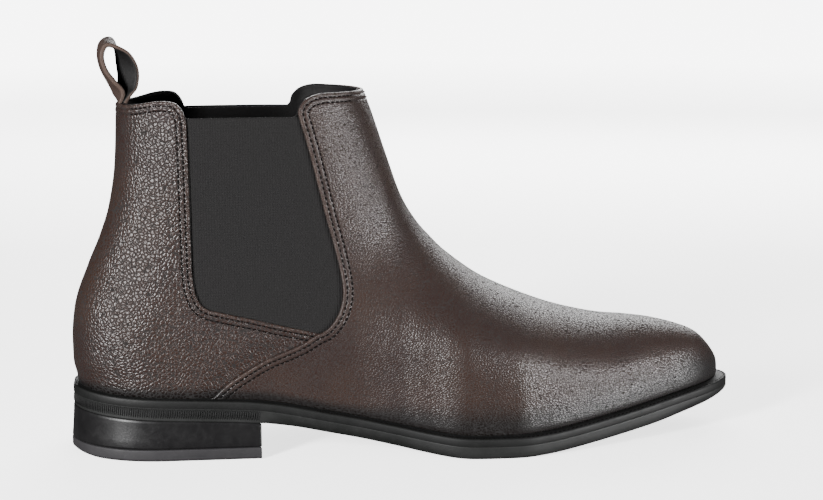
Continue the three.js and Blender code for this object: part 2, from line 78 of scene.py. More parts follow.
# ---------------------------------------------------------------------------------------------
# Studio: a pale paper sweep under the boot, a dim world, and soft panels. A tall one behind the heel
# and a low one beyond the toe draw the long highlights. The sweep and the backdrop are bright only
# to the camera, so that the dark leather doesn't mirror them.
WORLD_LIGHT = 0.02
BACKDROP_LIGHT = 7.0
FLOOR_HALF = 6.0
PAPER_WHITE = 0.93
PAPER_GLOW = {"From Min": 0.5, "From Max": 2.0, "To Min": 2.2, "To Max": 7.0}  # metres out, strength
DIM_CARD = 0.05
PANELS = (  # name, place, target, size, watts
    ("overhead_panel", (0.1, 0.25, 1.4), (0.05, 0, 0.05), (1.5, 0.9), 4.5),
    ("heel_panel", (-0.85, -0.77, 0.32), (-0.1, 0, 0.08), (0.18, 0.6), 60),
    ("toe_panel", (0.86, -0.62, 0.05), (0.08, 0, 0.02), (0.52, 0.07), 36),
    ("rim_panel", (0.3, 0.95, 0.6), (0.1, 0, 0.05), (1.1, 0.6), 24),
    ("front_panel", (-0.1, -1.3, 1.0), (0, 0, 0.05), (1.0, 0.6), 0.4))


def wire(tree, kind, inputs=None, **settings):
    """A node with its settings, and each input given a value or joined to an output."""
    node = tree.nodes.new(kind)
    for key, value in settings.items():
        setattr(node, key, value)
    for key, value in (inputs or {}).items():
        if isinstance(value, bpy.types.NodeSocket):
            tree.links.new(value, node.inputs[key])
        else:
            node.inputs[key].default_value = value
    return node


def grey(r, g=None, b=None):
    return (r, r if g is None else g, r if b is None else b, 1)


def camera_sees(tree, seen, otherwise, output):
    """Shows the camera one shader, and every other ray another."""
    camera_ray = wire(tree, "ShaderNodeLightPath").outputs["Is Camera Ray"]
    either = wire(tree, "ShaderNodeMixShader", {"Fac": camera_ray, 1: otherwise, 2: seen})
    tree.links.new(either.outputs["Shader"], tree.nodes[output].inputs["Surface"])


world = bpy.data.worlds.new("studio")
world.use_nodes = True
SCENE.world = world
sky = world.node_tree.nodes["Background"]
sky.inputs["Color"].default_value = grey(1)
sky.inputs["Strength"].default_value = WORLD_LIGHT
backdrop = wire(world.node_tree, "ShaderNodeBackground", {"Color": grey(1), "Strength": BACKDROP_LIGHT})
camera_sees(world.node_tree, backdrop.outputs["Background"], sky.outputs["Background"], "World Output")

for name, place, target, size, power in PANELS:
    light = bpy.data.lights.new(name, "AREA")
    light.shape = "RECTANGLE"
    light.size, light.size_y = size
    light.energy = power
    soft_panel = bpy.data.objects.new(name, light)
    soft_panel.location = place
    soft_panel.rotation_mode = "QUATERNION"
    soft_panel.rotation_quaternion = (Vector(target) - Vector(place)).to_track_quat("-Z", "Y")
    SCENE.collection.objects.link(soft_panel)

floor_mesh = bpy.data.meshes.new("floor")
corners = [(-1, -1, 0), (1, -1, 0), (1, 1, 0), (-1, 1, 0)]
floor_mesh.from_pydata([Vector(c) * FLOOR_HALF for c in corners], [], [(0, 1, 2, 3)])
floor = bpy.data.objects.new("floor", floor_mesh)
SCENE.collection.objects.link(floor)
floor_paint = bpy.data.materials.new("floor_paper")
floor_paint.use_nodes = True
tree = floor_paint.node_tree
paper = tree.nodes["Principled BSDF"]
paper.inputs["Base Color"].default_value = grey(PAPER_WHITE)
paper.inputs["Roughness"].default_value = 0.9
paper.inputs["Specular IOR Level"].default_value = 0.0
paper.inputs["Emission Strength"].default_value = 1.0
place = wire(tree, "ShaderNodeTexCoord").outputs["Object"]
away = wire(tree, "ShaderNodeVectorMath", {0: place}, operation="LENGTH").outputs["Value"]
glow = wire(tree, "ShaderNodeMapRange", {"Value": away, **PAPER_GLOW}).outputs["Result"]
tree.links.new(glow, paper.inputs["Emission Color"])
dim_card = wire(tree, "ShaderNodeBsdfDiffuse", {"Color": grey(DIM_CARD)})
camera_sees(tree, paper.outputs["BSDF"], dim_card.outputs["BSDF"], "Material Output")
floor_mesh.materials.append(floor_paint)


# ---------------------------------------------------------------------------------------------
# Quarter: the back half of the upper, one panel from under the seam on the outer side, round the
# heel, to the seam on the inner side. 1.3 mm pebbled leather, its collar and gore edges folded,
# with two rows of stitches along each.

# The last is the one smooth form that every piece of the upper is pulled over. It is drawn by its
# side profiles and its half widths, and any point of it is named by t, from the sole line up past
# the collar, and turn, which runs 0 at the back, 1 at the front and on to 2 round the inner side.
PLAN_EDGE = np.array([  # x, outer edge, inner edge of the upper's foot
    (-149, 30, 30), (-95, 31, 30.5), (-60, 30.5, 28.5), (-31, 31, 27), (-7.5, 35.5, 30.5),
    (5, 39.5, 34), (24, 45.5, 39), (44, 46, 42), (58.5, 43, 42), (73, 38.3, 40), (88, 33, 37),
    (103.5, 27, 32), (119.5, 20, 25.5), (128, 16, 21.5), (137, 11, 17.5), (148.5, 4, 14)])
SOLE_RISE = np.array([  # x, height of the sole above its flat ball
    (-153, 20.5), (-130, 19), (-100, 17.6), (-68, 16), (-51, 12.8), (-31, 8.5), (-8, 4.2),
    (10, 1), (24, 0), (50, 0), (66, 1.2), (82, 3.2), (110, 7.2), (136, 11), (153, 12.3)])
BACK_PROFILE = np.array([  # h above the sole's top at the ball, x
    (14, -147.8), (23.7, -148.8), (31.5, -150.3), (40.8, -150.4), (54.6, -149.1),
    (72.7, -142.8), (86.1, -137.1), (99.6, -132.7), (117.5, -129.6), (130.8, -128.7),
    (154, -127.8)])
FRONT_PROFILE = np.array([  # x, h, from the toe up to the collar
    (148.7, 13), (147.4, 21.5), (140, 31), (132.2, 35.8), (117.7, 40.1), (103.3, 42.3),
    (89, 43.8), (67.5, 49.3), (46.3, 57.8), (32.2, 65), (18.2, 75.4), (11.3, 82.2),
    (4.5, 90.2), (-2.4, 102.2), (-9.2, 121.5), (-15.9, 141.5), (-21.5, 156)])
FRONT_ROUNDING = np.array([  # x, how far in from the ridge the upper reaches its full width
    (-60, 47), (-20, 46), (0, 41), (30, 39), (70, 37), (100, 31), (120, 25), (135, 17),
    (149, 12)])
BACK_ROUNDING = np.array([(14, 41), (50, 37), (90, 38), (154, 45)])  # h, the same from the back
LENGTH_GRADE = 1.0037
SOLE_THICKNESS = 9.5
SHAFT_HALF_WIDTH = 28
ANKLE_HEIGHT = (35, 95)
LAST_SQUARENESS = 2.2
FOOT_LIFT = 0.15
PROFILE_HALF_LENGTH = 190
EASING = 24
EASE_WIDTH = 11
PIVOT = Vector(frame["joints"][0]["pos_m"]) / MM
PIVOT_BEHIND = 124.5
LAST_SHIFT = np.array((PIVOT.x + PIVOT_BEHIND * LENGTH_GRADE, PIVOT.y))


def smooth_line(stations):
    """Monotone cubic through (x, y) stations, straight beyond its ends."""
    xs, ys = np.asarray(stations, float).T
    slopes = np.diff(ys) / np.diff(xs)
    before, after = np.r_[slopes[0], slopes], np.r_[slopes, slopes[-1]]
    total = np.where(before * after > 0, before + after, 1)
    tangents = np.where(before * after > 0, 2 * before * after / total, 0)

    def at(x):
        x = np.asarray(x, float)
        i = np.clip(np.searchsorted(xs, x, side="right") - 1, 0, len(xs) - 2)
        step = xs[i + 1] - xs[i]
        u = np.clip((x - xs[i]) / step, 0, 1)
        inner = ys[i] + (ys[i + 1] - ys[i]) * (3 - 2 * u) * u * u
        inner += u * (1 - u) * step * ((1 - u) * tangents[i] - u * tangents[i + 1])
        low, high = np.minimum(x - xs[0], 0), np.maximum(x - xs[-1], 0)
        return inner + tangents[0] * low + tangents[-1] * high
    return at


def curve_through(points, pieces=24):
    """Dense smooth curve through points."""
    p = np.asarray(points, float)
    p = np.vstack((2 * p[0] - p[1], p, 2 * p[-1] - p[-2]))
    u = np.linspace(0, 1, pieces, endpoint=False)[:, None]
    parts = []
    for a, b, c, d in zip(p[:-3], p[1:-2], p[2:-1], p[3:]):
        lean_in, lean_out = (c - a) / 2, (d - b) / 2
        parts.append(b + lean_in * u + (3 * (c - b) - 2 * lean_in - lean_out) * u ** 2
                     + (lean_in + lean_out - 2 * (c - b)) * u ** 3)
    return np.vstack((*parts, p[-2:-1]))


def run_along(points):
    """Distance run to each point of a line."""
    return np.r_[0, np.cumsum(np.linalg.norm(np.diff(points, axis=0), axis=1))]


def interp_line(at, run, line):
    return np.stack([np.interp(at, run, c) for c in line.T], -1)


def spaced(points, shares):
    """Points at shares of a line's length."""
    run = run_along(points)
    return interp_line(np.asarray(shares) * run[-1], run, points)


def eased(values, width, mode, **how):
    """Values smoothed by a bell over their neighbours."""
    spread = np.exp(-(np.arange(-EASING, EASING + 1) / width) ** 2)
    return np.convolve(np.pad(values, EASING, mode=mode, **how), spread / spread.sum(), "valid")


def graded(points):
    return np.asarray(points, float) * (LENGTH_GRADE, 1) + (0, SOLE_THICKNESS)


def bell(x):
    x = np.clip(x, 0, 1)
    return x * x * (3 - 2 * x)


outer_edge = smooth_line(PLAN_EDGE[:, (0, 1)] * (LENGTH_GRADE, 1))
inner_edge = smooth_line(PLAN_EDGE[:, (0, 2)] * (LENGTH_GRADE, 1))
sole_stations = np.arange(-PROFILE_HALF_LENGTH, PROFILE_HALF_LENGTH + 1.0)
sole_sampled = smooth_line(SOLE_RISE * (LENGTH_GRADE, 1))(sole_stations)
sole_sampled = eased(sole_sampled, EASE_WIDTH, "edge")
sole_rise = smooth_line(np.stack((sole_stations, sole_sampled - sole_sampled.min()), -1)[::6])
back_x = smooth_line(BACK_PROFILE * (1, LENGTH_GRADE) + (SOLE_THICKNESS, 0))
front_rounding = smooth_line(FRONT_ROUNDING)
back_rounding = smooth_line(BACK_ROUNDING + (SOLE_THICKNESS, 0))
toe_x = FRONT_PROFILE[0, 0] * LENGTH_GRADE
heel_x = BACK_PROFILE[0, 1] * LENGTH_GRADE


def foot_line(x):
    return sole_rise(x) + SOLE_THICKNESS + FOOT_LIFT


front_curve = curve_through(np.vstack(((toe_x, foot_line(toe_x)), graded(FRONT_PROFILE))))
front_share = run_along(front_curve) / run_along(front_curve)[-1]
front_line = spaced(front_curve, np.linspace(0, 1, 420))
back_top = BACK_PROFILE[-1, 0] + SOLE_THICKNESS
back_heights = np.linspace(foot_line(heel_x), back_top, 240)
back_line = np.stack((back_x(back_heights), back_heights), -1)


def distance_to(line, points):
    """Distance from side-view points to a dense line."""
    flat = points.reshape(-1, 2)
    start, along = line[:-1], np.diff(line, axis=0)
    length2 = (along ** 2).sum(-1)
    best = np.empty(len(flat))
    for low in range(0, len(flat), 4000):
        offset = flat[low:low + 4000, None] - start
        share = np.clip((offset * along).sum(-1) / length2, 0, 1)
        gap = offset - share[..., None] * along
        best[low:low + 4000] = np.sqrt((gap ** 2).sum(-1).min(1))
    return best.reshape(points.shape[:-1])


def rounded(u, squareness=LAST_SQUARENESS):
    return np.sqrt(1 - (1 - np.clip(u, 0, 1)) ** squareness)


def last_y(side, x, z):
    """Where the last lies at (x, z), on the outer side (-1) or the inner side (1)."""
    points = np.stack((x, z), -1)
    ankle = bell((z - SOLE_THICKNESS - ANKLE_HEIGHT[0]) / (ANKLE_HEIGHT[1] - ANKLE_HEIGHT[0]))
    middle = (inner_edge(x) - outer_edge(x)) / 2
    foot = (inner_edge(x) + outer_edge(x)) / 2
    half = foot + (SHAFT_HALF_WIDTH - foot) * ankle
    squareness = LAST_SQUARENESS - 0.1 * bell((x - 30) / 60)
    front = rounded(distance_to(front_line, points) / front_rounding(x), squareness)
    back = rounded(distance_to(back_line, points) / back_rounding(z))
    return middle * (1 - ankle) + side * half * front * back


def side_point(t, q):
    """Side-view point of the last at t and at q, the share of the way from back to front."""
    t, q = np.broadcast_arrays(np.asarray(t, float), np.asarray(q, float))
    z = back_heights[0] + (back_top - back_heights[0]) * t
    back = np.stack((back_x(z), z), -1)
    front = interp_line(t, front_share, front_curve)
    x = heel_x + (toe_x - heel_x) * q
    bottom = np.stack((x, foot_line(x)), -1)
    t, q = t[..., None], q[..., None]
    top = back_line[-1] + (front_curve[-1] - back_line[-1]) * q
    low = back_line[0] + (front_curve[0] - back_line[0]) * q
    return bottom * (1 - t) + top * t + back * (1 - q) + front * q - (low * (1 - t) + top * t)


def side_place(t, turn):
    return side_point(t, (1 - np.cos(np.pi * turn)) / 2)


def on_last(t, turn):
    side = np.where(np.mod(turn, 2) < 1, -1, 1)
    point = side_place(t, turn)
    x, z = point[..., 0], point[..., 1]
    return np.stack((x, last_y(side, x, z), z), -1)


def find_on_last(points):
    """t and turn of side-view points of the outer side, by Newton's method from the nearest of a
    coarse grid."""
    points = np.asarray(points, float)
    ts, qs = np.meshgrid(np.linspace(0, 1, 41), np.linspace(0, 1, 41), indexing="ij")
    grid = side_point(ts, qs)
    nearest = ((points[:, None, None] - grid) ** 2).sum(-1).reshape(len(points), -1).argmin(1)
    t, q = ts.ravel()[nearest], qs.ravel()[nearest]
    nudge = 1e-4
    for _ in range(8):
        here = side_point(t, q)
        by_t = (side_point(t + nudge, q) - here) / nudge
        by_q = (side_point(t, q + nudge) - here) / nudge
        miss = points - here
        det = by_t[:, 0] * by_q[:, 1] - by_t[:, 1] * by_q[:, 0]
        t = t + (miss[:, 0] * by_q[:, 1] - miss[:, 1] * by_q[:, 0]) / det
        q = np.clip(q + (by_t[:, 0] * miss[:, 1] - by_t[:, 1] * miss[:, 0]) / det, 0, 1)
    return np.stack((t, np.arccos(1 - 2 * q) / np.pi), -1)


def ridge(h, turn):
    """t and turn on the back (0) or front (1) ridge at height h."""
    z = h + SOLE_THICKNESS
    if turn == 0:
        return np.array([((z - back_heights[0]) / (back_top - back_heights[0]), 0)])
    return np.array([(np.interp(z, front_curve[:, 1], front_share), 1)])


def shift_line(points, reach):
    """A side-view line moved reach to its left."""
    along = np.gradient(points, axis=0)
    along /= np.linalg.norm(along, axis=1, keepdims=True)
    return points + reach * along[:, ::-1] * (-1, 1)


def inner_of(edge, reach):
    """The side-view line one edge band inside a drawn edge, eased round tight corners."""
    moved = shift_line(edge, reach)
    run = run_along(edge)
    even = np.linspace(0, run[-1], 500)
    columns = [eased(np.interp(even, run, c), 10, "reflect", reflect_type="odd") for c in moved.T]
    return interp_line(run, even, np.stack(columns, -1))


def make_piece(name, vertices, faces):
    """A mesh object from millimetre points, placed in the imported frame."""
    mesh = bpy.data.meshes.new(name)
    points = np.asarray(vertices, float).reshape(-1, 3) + (*LAST_SHIFT, 0)
    mesh.from_pydata((points * MM).tolist(), [], [tuple(int(i) for i in f) for f in faces])
    mesh.polygons.foreach_set("use_smooth", [True] * len(mesh.polygons))
    piece = bpy.data.objects.new(name, mesh)
    SCENE.collection.objects.link(piece)
    return piece


def grid_faces(rows, columns, start=0, flip=False):
    low = (start + np.arange(rows - 1)[:, None] * columns + np.arange(columns - 1)).ravel()
    faces = np.stack((low, low + 1, low + columns + 1, low + columns), -1)
    return (faces[:, ::-1] if flip else faces).tolist()


def mark(piece, name, values):
    """A value for each point of a piece, for its material to read."""
    layer = piece.data.attributes.new(name, "FLOAT", "POINT")
    layer.data.foreach_set("value", np.asarray(values, np.float32).ravel())


LEATHER = 1.3
GORE_TAIL = [(-36, 43.5), (-41, 44.9), (-46.7, 46.3), (-58, 49), (-70.4, 52.3), (-84, 55.6),
             (-92.7, 58.9), (-96.3, 68.5), (-97, 86), (-97.3, 105.9), (-97.7, 130),
             (-98.4, 141), (-101.8, 146.7), (-106.5, 147.9), (-112, 147.6), (-119, 146.2),
             (-124, 145.5)]
COLLAR_BACK = 145.4
SEAM = [(-90.2, 16.6), (-88.5, 18), (-80.9, 24.7), (-66.4, 33.5), (-51.1, 39.8), (-43.5, 44.4)]
STITCH_ROWS = (1.9, 4.2)
EDGE_BAND = 6.2
EDGE_STEPS = np.array((0, .08, .2, .38, .6, .9, 1.25, 1.55, 1.75, 1.9, 2.05, 2.25, 2.6, 3.1, 3.6,
                       3.9, 4.05, 4.2, 4.35, 4.55, 4.9, 5.5)) / EDGE_BAND

FAR_IN = 9  # a distance from the edge past every stitch row
SEAM_SINK, SEAM_FADE = 1.05, 10
FOOT_TUCK, TUCK_HEIGHT = 0.5, 3
QUARTER_COLUMNS = 134
QUARTER_ROWS = 82
FOLD_RADIUS, FOLD_DROP = 0.75, 0.85
ROW_DEPTH, BETWEEN_ROWS = 0.2, 0.14


def edge_lines(edge, reach, top, turn, fade):
    """A panel's drawn edge and the line one edge band inside it, as (t, turn) lines that end on a
    ridge, and the share of the edge's length run to each point."""
    drawn = np.vstack((find_on_last(edge), ridge(top, turn)))
    inside = np.vstack((find_on_last(inner_of(edge, reach)), ridge(top - EDGE_BAND, turn)))
    run = run_along(on_last(*drawn.T))
    near_end = bell((run[-1] - run) / fade)
    inside[:, 1] = drawn[:, 1] * (1 - near_end) + inside[:, 1] * near_end
    return drawn, inside, run / run[-1]


def shade_group(name, inputs, outputs):
    tree = bpy.data.node_groups.new(name, "ShaderNodeTree")
    for label, value in inputs.items():
        socket = tree.interface.new_socket(label, in_out="INPUT", socket_type="NodeSocketFloat")
        socket.default_value = value
    for label in outputs:
        tree.interface.new_socket(label, in_out="OUTPUT", socket_type="NodeSocketFloat")
    return tree, tree.nodes.new("NodeGroupInput").outputs, tree.nodes.new("NodeGroupOutput").inputs


def use_group(tree, group, **values):
    node = tree.nodes.new("ShaderNodeGroup")
    node.node_tree = group
    for key, value in values.items():
        node.inputs[key.replace("_", " ")].default_value = value
    return node.outputs


def math_of(tree, operation, a, b=0.0):
    return wire(tree, "ShaderNodeMath", {0: a, 1: b}, operation=operation).outputs[0]


def times(tree, a, b):
    return math_of(tree, "MULTIPLY", a, b)


def vector_of(tree, operation, a, b, second=1):
    return wire(tree, "ShaderNodeVectorMath", {0: a, second: b}, operation=operation).outputs[0]


def ease(tree, value, low, high, to_low=0.0, to_high=1.0):
    inputs = {"Value": value, "From Min": low, "From Max": high, "To Min": to_low, "To Max": to_high}
    return wire(tree, "ShaderNodeMapRange", inputs, interpolation_type="SMOOTHSTEP").outputs["Result"]


def blend_colour(tree, share, a, b):
    return wire(tree, "ShaderNodeMix", {0: share, 6: a, 7: b}, data_type="RGBA").outputs[2]


def noise(tree, place, scale, detail=2.0, rough=0.5, bend=0.0, output="Fac"):
    inputs = {"Vector": place, "Scale": scale, "Detail": detail, "Roughness": rough, "Distortion": bend}
    return wire(tree, "ShaderNodeTexNoise", inputs).outputs[output]


def cells(tree, place, scale):
    inputs = {"Vector": place, "Scale": scale}
    return wire(tree, "ShaderNodeTexVoronoi", inputs, feature="DISTANCE_TO_EDGE").outputs["Distance"]


def marked(tree, name):
    return wire(tree, "ShaderNodeAttribute", attribute_name=name).outputs["Fac"]


def object_place(tree):
    return wire(tree, "ShaderNodeTexCoord").outputs["Object"]


def new_finish(name, roughness=0.5, **fixed):
    """A material with its shader and Object coordinates ready."""
    finish = bpy.data.materials.get(name) or bpy.data.materials.new(name)
    finish.use_nodes = True
    tree = finish.node_tree
    shader = tree.nodes["Principled BSDF"]
    shader.inputs["Roughness"].default_value = roughness
    for key, value in fixed.items():
        shader.inputs[key.replace("_", " ")].default_value = value
    return finish, tree, shader, object_place(tree)


def dress(tree, shader, colour, rough, height, relief, depth):
    """Joins a colour, a roughness and the bump of a height to a material's shader."""
    bump = wire(tree, "ShaderNodeBump", {"Height": height, "Strength": relief, "Distance": depth})
    for key, value in (("Base Color", colour), ("Roughness", rough), ("Normal", bump.outputs["Normal"])):
        tree.links.new(value, shader.inputs[key])


# Pebbled grain: rounded cells parted by creases, crossed by a finer set, uneven in size.
GRAIN, given, result = shade_group(
    "pebbled_grain", {"Cells": 600.0, "Unevenness": 0.0011, "Stretch": 1.0}, ("Height", "Creases", "Tone"))
FINER_CELLS = 2.3
HEIGHT_SHARES = {"dome": 0.62, "tilt": 0.12, "small_dome": 0.1, "pores": 0.05}
place = object_place(GRAIN)
wander = noise(GRAIN, place, 330, 2.0, output="Color")
wander = vector_of(GRAIN, "SUBTRACT", wander, (0.5, 0.5, 0.5))
wander = vector_of(GRAIN, "SCALE", wander, given["Unevenness"], "Scale")
bent = vector_of(GRAIN, "ADD", place, wander)
lengthen = wire(GRAIN, "ShaderNodeCombineXYZ", {"X": 1.0, "Y": 1.0, "Z": given["Stretch"]}).outputs[0]
bent = vector_of(GRAIN, "MULTIPLY", bent, lengthen)
wide = cells(GRAIN, bent, given["Cells"])
narrow = cells(GRAIN, bent, times(GRAIN, given["Cells"], FINER_CELLS))
crease = ease(GRAIN, wide, 0.0, 0.14)
forms = {"dome": ease(GRAIN, wide, 0.0, 0.3), "tilt": noise(GRAIN, bent, 420, 1.0),
         "small_dome": ease(GRAIN, narrow, 0.0, 0.25), "pores": noise(GRAIN, bent, 5200, 2.0)}
height = 0.0
for form, share in HEIGHT_SHARES.items():
    height = math_of(GRAIN, "ADD", times(GRAIN, forms[form], share), height)
GRAIN.links.new(height, result["Height"])
GRAIN.links.new(math_of(GRAIN, "SUBTRACT", 1.0, crease), result["Creases"])
GRAIN.links.new(noise(GRAIN, place, 28, 3.0, 0.6), result["Tone"])

# Edge wear and darkening: where a folded or moulded edge is rubbed, broken up by the grain,
# and where the leather is darker towards the sole.
WEAR_AND_SOLE_DARK, given, result = shade_group("edge_wear_and_sole_dark", {"Amount": 0.5}, ("Rubbed", "Sole Dark"))
SOLE_DARK_DRIFT = 0.25
place = object_place(WEAR_AND_SOLE_DARK)
patchy = ease(WEAR_AND_SOLE_DARK, noise(WEAR_AND_SOLE_DARK, place, 420, 3.0), 0.35, 0.7)
rubbed = times(WEAR_AND_SOLE_DARK, times(WEAR_AND_SOLE_DARK, marked(WEAR_AND_SOLE_DARK, "edge"), patchy), given["Amount"])
drift = times(WEAR_AND_SOLE_DARK, math_of(WEAR_AND_SOLE_DARK, "SUBTRACT", noise(WEAR_AND_SOLE_DARK, place, 40, 2.0), 0.5), SOLE_DARK_DRIFT)
sole_dark = ease(WEAR_AND_SOLE_DARK, math_of(WEAR_AND_SOLE_DARK, "ADD", marked(WEAR_AND_SOLE_DARK, "foot"), drift), 0.44, 0.1)
WEAR_AND_SOLE_DARK.links.new(rubbed, result["Rubbed"])
WEAR_AND_SOLE_DARK.links.new(sole_dark, result["Sole Dark"])

# Painted shade: the darkest brown is laid into the grain's creases and into the sunk rows of stitches.
LEATHER_PAINTED_SHADE = grey(0.002, 0.0012, 0.001)
LEATHER_BROWN = grey(0.0105, 0.0052, 0.0042)
LEATHER_WARM = grey(0.0145, 0.0074, 0.0052)
LEATHER_RUBBED = grey(0.045, 0.028, 0.022)
# The leather darkens to this towards the sole, and its grain is flattened there.
LEATHER_DARK_AT_SOLE = grey(0.0009, 0.0006, 0.0006)
GROOVE_SHADE, RUBBED_TONE, SOLE_DARK_SHARE = 0.35, 0.5, 0.92
CREASE_ROUGH = 0.95
SOLE_GRAIN_FLAT = 0.75
GRAIN_DEPTH = 0.0013


def leather_finish(name, cell_scale, relief, unevenness, crease_shade, stretch, dome_rough):
    finish, tree, shader, place = new_finish(name, Specular_IOR_Level=0.3)
    grain = use_group(tree, GRAIN, Cells=cell_scale, Unevenness=unevenness, Stretch=stretch)
    wear_and_sole_dark = use_group(tree, WEAR_AND_SOLE_DARK, Amount=0.6)
    colour = blend_colour(tree, ease(tree, grain["Tone"], 0.3, 0.72), LEATHER_BROWN, LEATHER_WARM)
    # Painted shade darkens the grain's creases and the sunk stitch rows; rubbed edges are lighter.
    for mask, share, tone in ((grain["Creases"], crease_shade, LEATHER_PAINTED_SHADE),
                              (marked(tree, "groove"), GROOVE_SHADE, LEATHER_PAINTED_SHADE),
                              (wear_and_sole_dark["Rubbed"], RUBBED_TONE, LEATHER_RUBBED),
                              (wear_and_sole_dark["Sole Dark"], SOLE_DARK_SHARE, LEATHER_DARK_AT_SOLE)):
        colour = blend_colour(tree, times(tree, mask, share), colour, tone)
    rough = ease(tree, grain["Creases"], 0.0, 0.9, dome_rough, CREASE_ROUGH)
    grain_kept = math_of(tree, "SUBTRACT", 1.0, times(tree, wear_and_sole_dark["Sole Dark"], SOLE_GRAIN_FLAT))
    dress(tree, shader, colour, rough, times(tree, grain["Height"], grain_kept), relief, GRAIN_DEPTH)
    return finish


def foot_turn(x):
    return np.arccos(1 - 2 * (x * LENGTH_GRADE - heel_x) / (toe_x - heel_x)) / np.pi


def panel(name, places, faces, rim, height, thickness):
    """A leather panel on the last: places are (t, turn), height lifts the outer face."""
    points = on_last(*places.T)
    base = make_piece(name, points, faces)
    count = len(places)
    normals = np.empty(count * 3, np.float32)
    base.data.vertex_normals.foreach_get("vector", normals)
    normals = normals.reshape(-1, 3)
    outside = points + normals * height[:, None]
    inside = points + normals * (np.minimum(height, 0) * 0.5 - thickness)[:, None]
    bpy.data.objects.remove(base)
    faces = [tuple(f) for f in faces]
    back_faces = [tuple(i + count for i in reversed(f)) for f in faces]
    walls = [(b, a, a + count, b + count) for a, b in zip(rim, np.roll(rim, -1))]
    return make_piece(name, np.concatenate((outside, inside)), faces + back_faces + walls)


def fold_height(gap):
    """Height of a folded edge with two sunk rows of stitches, by distance from the edge."""
    near = np.clip(gap / FOLD_RADIUS, 0, 1)
    height = -FOLD_DROP * (1 - np.sqrt(1 - (1 - near) ** 2))
    for row in STITCH_ROWS:
        height = height - ROW_DEPTH * np.exp(-((gap - row) / 0.33) ** 2)
    return height + BETWEEN_ROWS * np.exp(-((gap - 3.05) / 0.9) ** 2)


def tuck(side_places):
    """How far the upper's foot is drawn in under the welt."""
    above_foot = side_places[:, 1] - foot_line(side_places[:, 0])
    return FOOT_TUCK * np.clip(1 - above_foot / TUCK_HEIGHT, 0, 1) ** 2


def mark_leather(piece, gaps, side_places):
    x = side_places[:, 0]
    above_foot = side_places[:, 1] - foot_line(x)
    # How high the darkening towards the sole reaches.
    sole_dark_reach = 40 - 26 * bell(1 - np.clip((x + 40) / 70, 0, 1))
    # The groove mark tells the finish where to paint shade along the sunk stitch rows.
    groove = sum(np.exp(-((gaps - row) / 0.4) ** 2) for row in STITCH_ROWS)
    mark(piece, "edge", np.tile(np.clip(1 - gaps / 2.2, 0, 1), 2))
    mark(piece, "foot", np.tile(np.clip(above_foot / sole_dark_reach, 0, 1), 2))
    mark(piece, "groove", np.tile(groove, 2))


def nearest_share(edge, run_share, point):
    return run_share[np.abs(edge - graded([point])).sum(-1).argmin()]


quarter_edge = curve_through(graded(GORE_TAIL), 14)
edge_line, inner_line, run_share = edge_lines(quarter_edge, EDGE_BAND, COLLAR_BACK, 0, 16)
shares = np.linspace(0, 1, QUARTER_COLUMNS)
edge_places = interp_line(shares, run_share, edge_line)
inner_places = interp_line(shares, run_share, inner_line)
gore_corner = nearest_share(quarter_edge, run_share, (-94.6, 62))
collar_corner = nearest_share(quarter_edge, run_share, (-98.4, 141))
foot_turns = smooth_line([(0, foot_turn(-78)), (gore_corner, foot_turn(-112)),
                          (collar_corner, foot_turn(-141)), (1, 0)])(shares)
foot_places = np.stack((np.zeros(QUARTER_COLUMNS), foot_turns), -1)
rise = np.linspace(0, 1, QUARTER_ROWS)[:, None, None]
lower = foot_places * (1 - rise) + inner_places * rise
out = (1 - EDGE_STEPS[::-1])[:, None, None]
places = np.concatenate((lower, inner_places * (1 - out) + edge_places * out))
gaps = np.r_[np.full(QUARTER_ROWS, FAR_IN), EDGE_STEPS[::-1] * EDGE_BAND]
rows = len(places)
places = np.concatenate((places * (1, -1), places[:, -2::-1]), 1)
columns = places.shape[1]
places = places.reshape(-1, 2)
gaps = np.repeat(gaps, columns)
side_places = side_place(*places.T)
seam_line = curve_through(graded(SEAM), 12)
under_seam = distance_to(seam_line, side_places)
seam_height = np.interp(side_places[:, 0], seam_line[:, 0], seam_line[:, 1])
covered = (side_places[:, 1] < seam_height) & (side_places[:, 0] > seam_line[0, 0])
fade = bell(np.minimum(side_places[:, 0] - seam_line[0, 0] + 14, 14) / 14)
sunk = np.where(covered, 1.0, 1 - bell(under_seam / SEAM_FADE)) * fade
height = fold_height(gaps) - SEAM_SINK * sunk - tuck(side_places)
index = np.arange(rows * columns).reshape(rows, columns)
rim = [*index[0, :-1], *index[:-1, -1], *index[-1, :0:-1], *index[:0:-1, 0]]
quarter = panel("quarter_leather", places, grid_faces(rows, columns), rim, height, LEATHER)
mark_leather(quarter, gaps, side_places)
quarter.data.materials.append(leather_finish(
    "coarse_pebbled_leather", cell_scale=600, relief=0.3, unevenness=0.0007, crease_shade=0.95,
    stretch=1.1, dome_rough=0.36))
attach(quarter, "boot")
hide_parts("quarter")


# ---------------------------------------------------------------------------------------------
# Vamp: the front half of the upper, one panel over the toe and up to the collar. Its edge laps
# over the quarter along the sloping seam, then runs up the front of the gore, with two rows of
# stitches all the way.
GORE_FRONT = [(-37.8, 47.4), (-33, 54.5), (-31.2, 64.5), (-33.6, 79), (-38.1, 96.5),
              (-41.8, 112), (-45.5, 127), (-49, 139.5), (-49.4, 143.6), (-46.2, 148.1),
              (-40, 150.3), (-32, 150.5), (-26, 150.5)]
COLLAR_FRONT = 150.5
VAMP_ROWS = 104
VAMP_HALF_COLUMNS = 116
LAP_RISE, LAP_FADE = 0.35, 9


def other_side(places):
    """(t, turn) places mirrored to the inner side."""
    return places * (1, -1) + (0, 2)


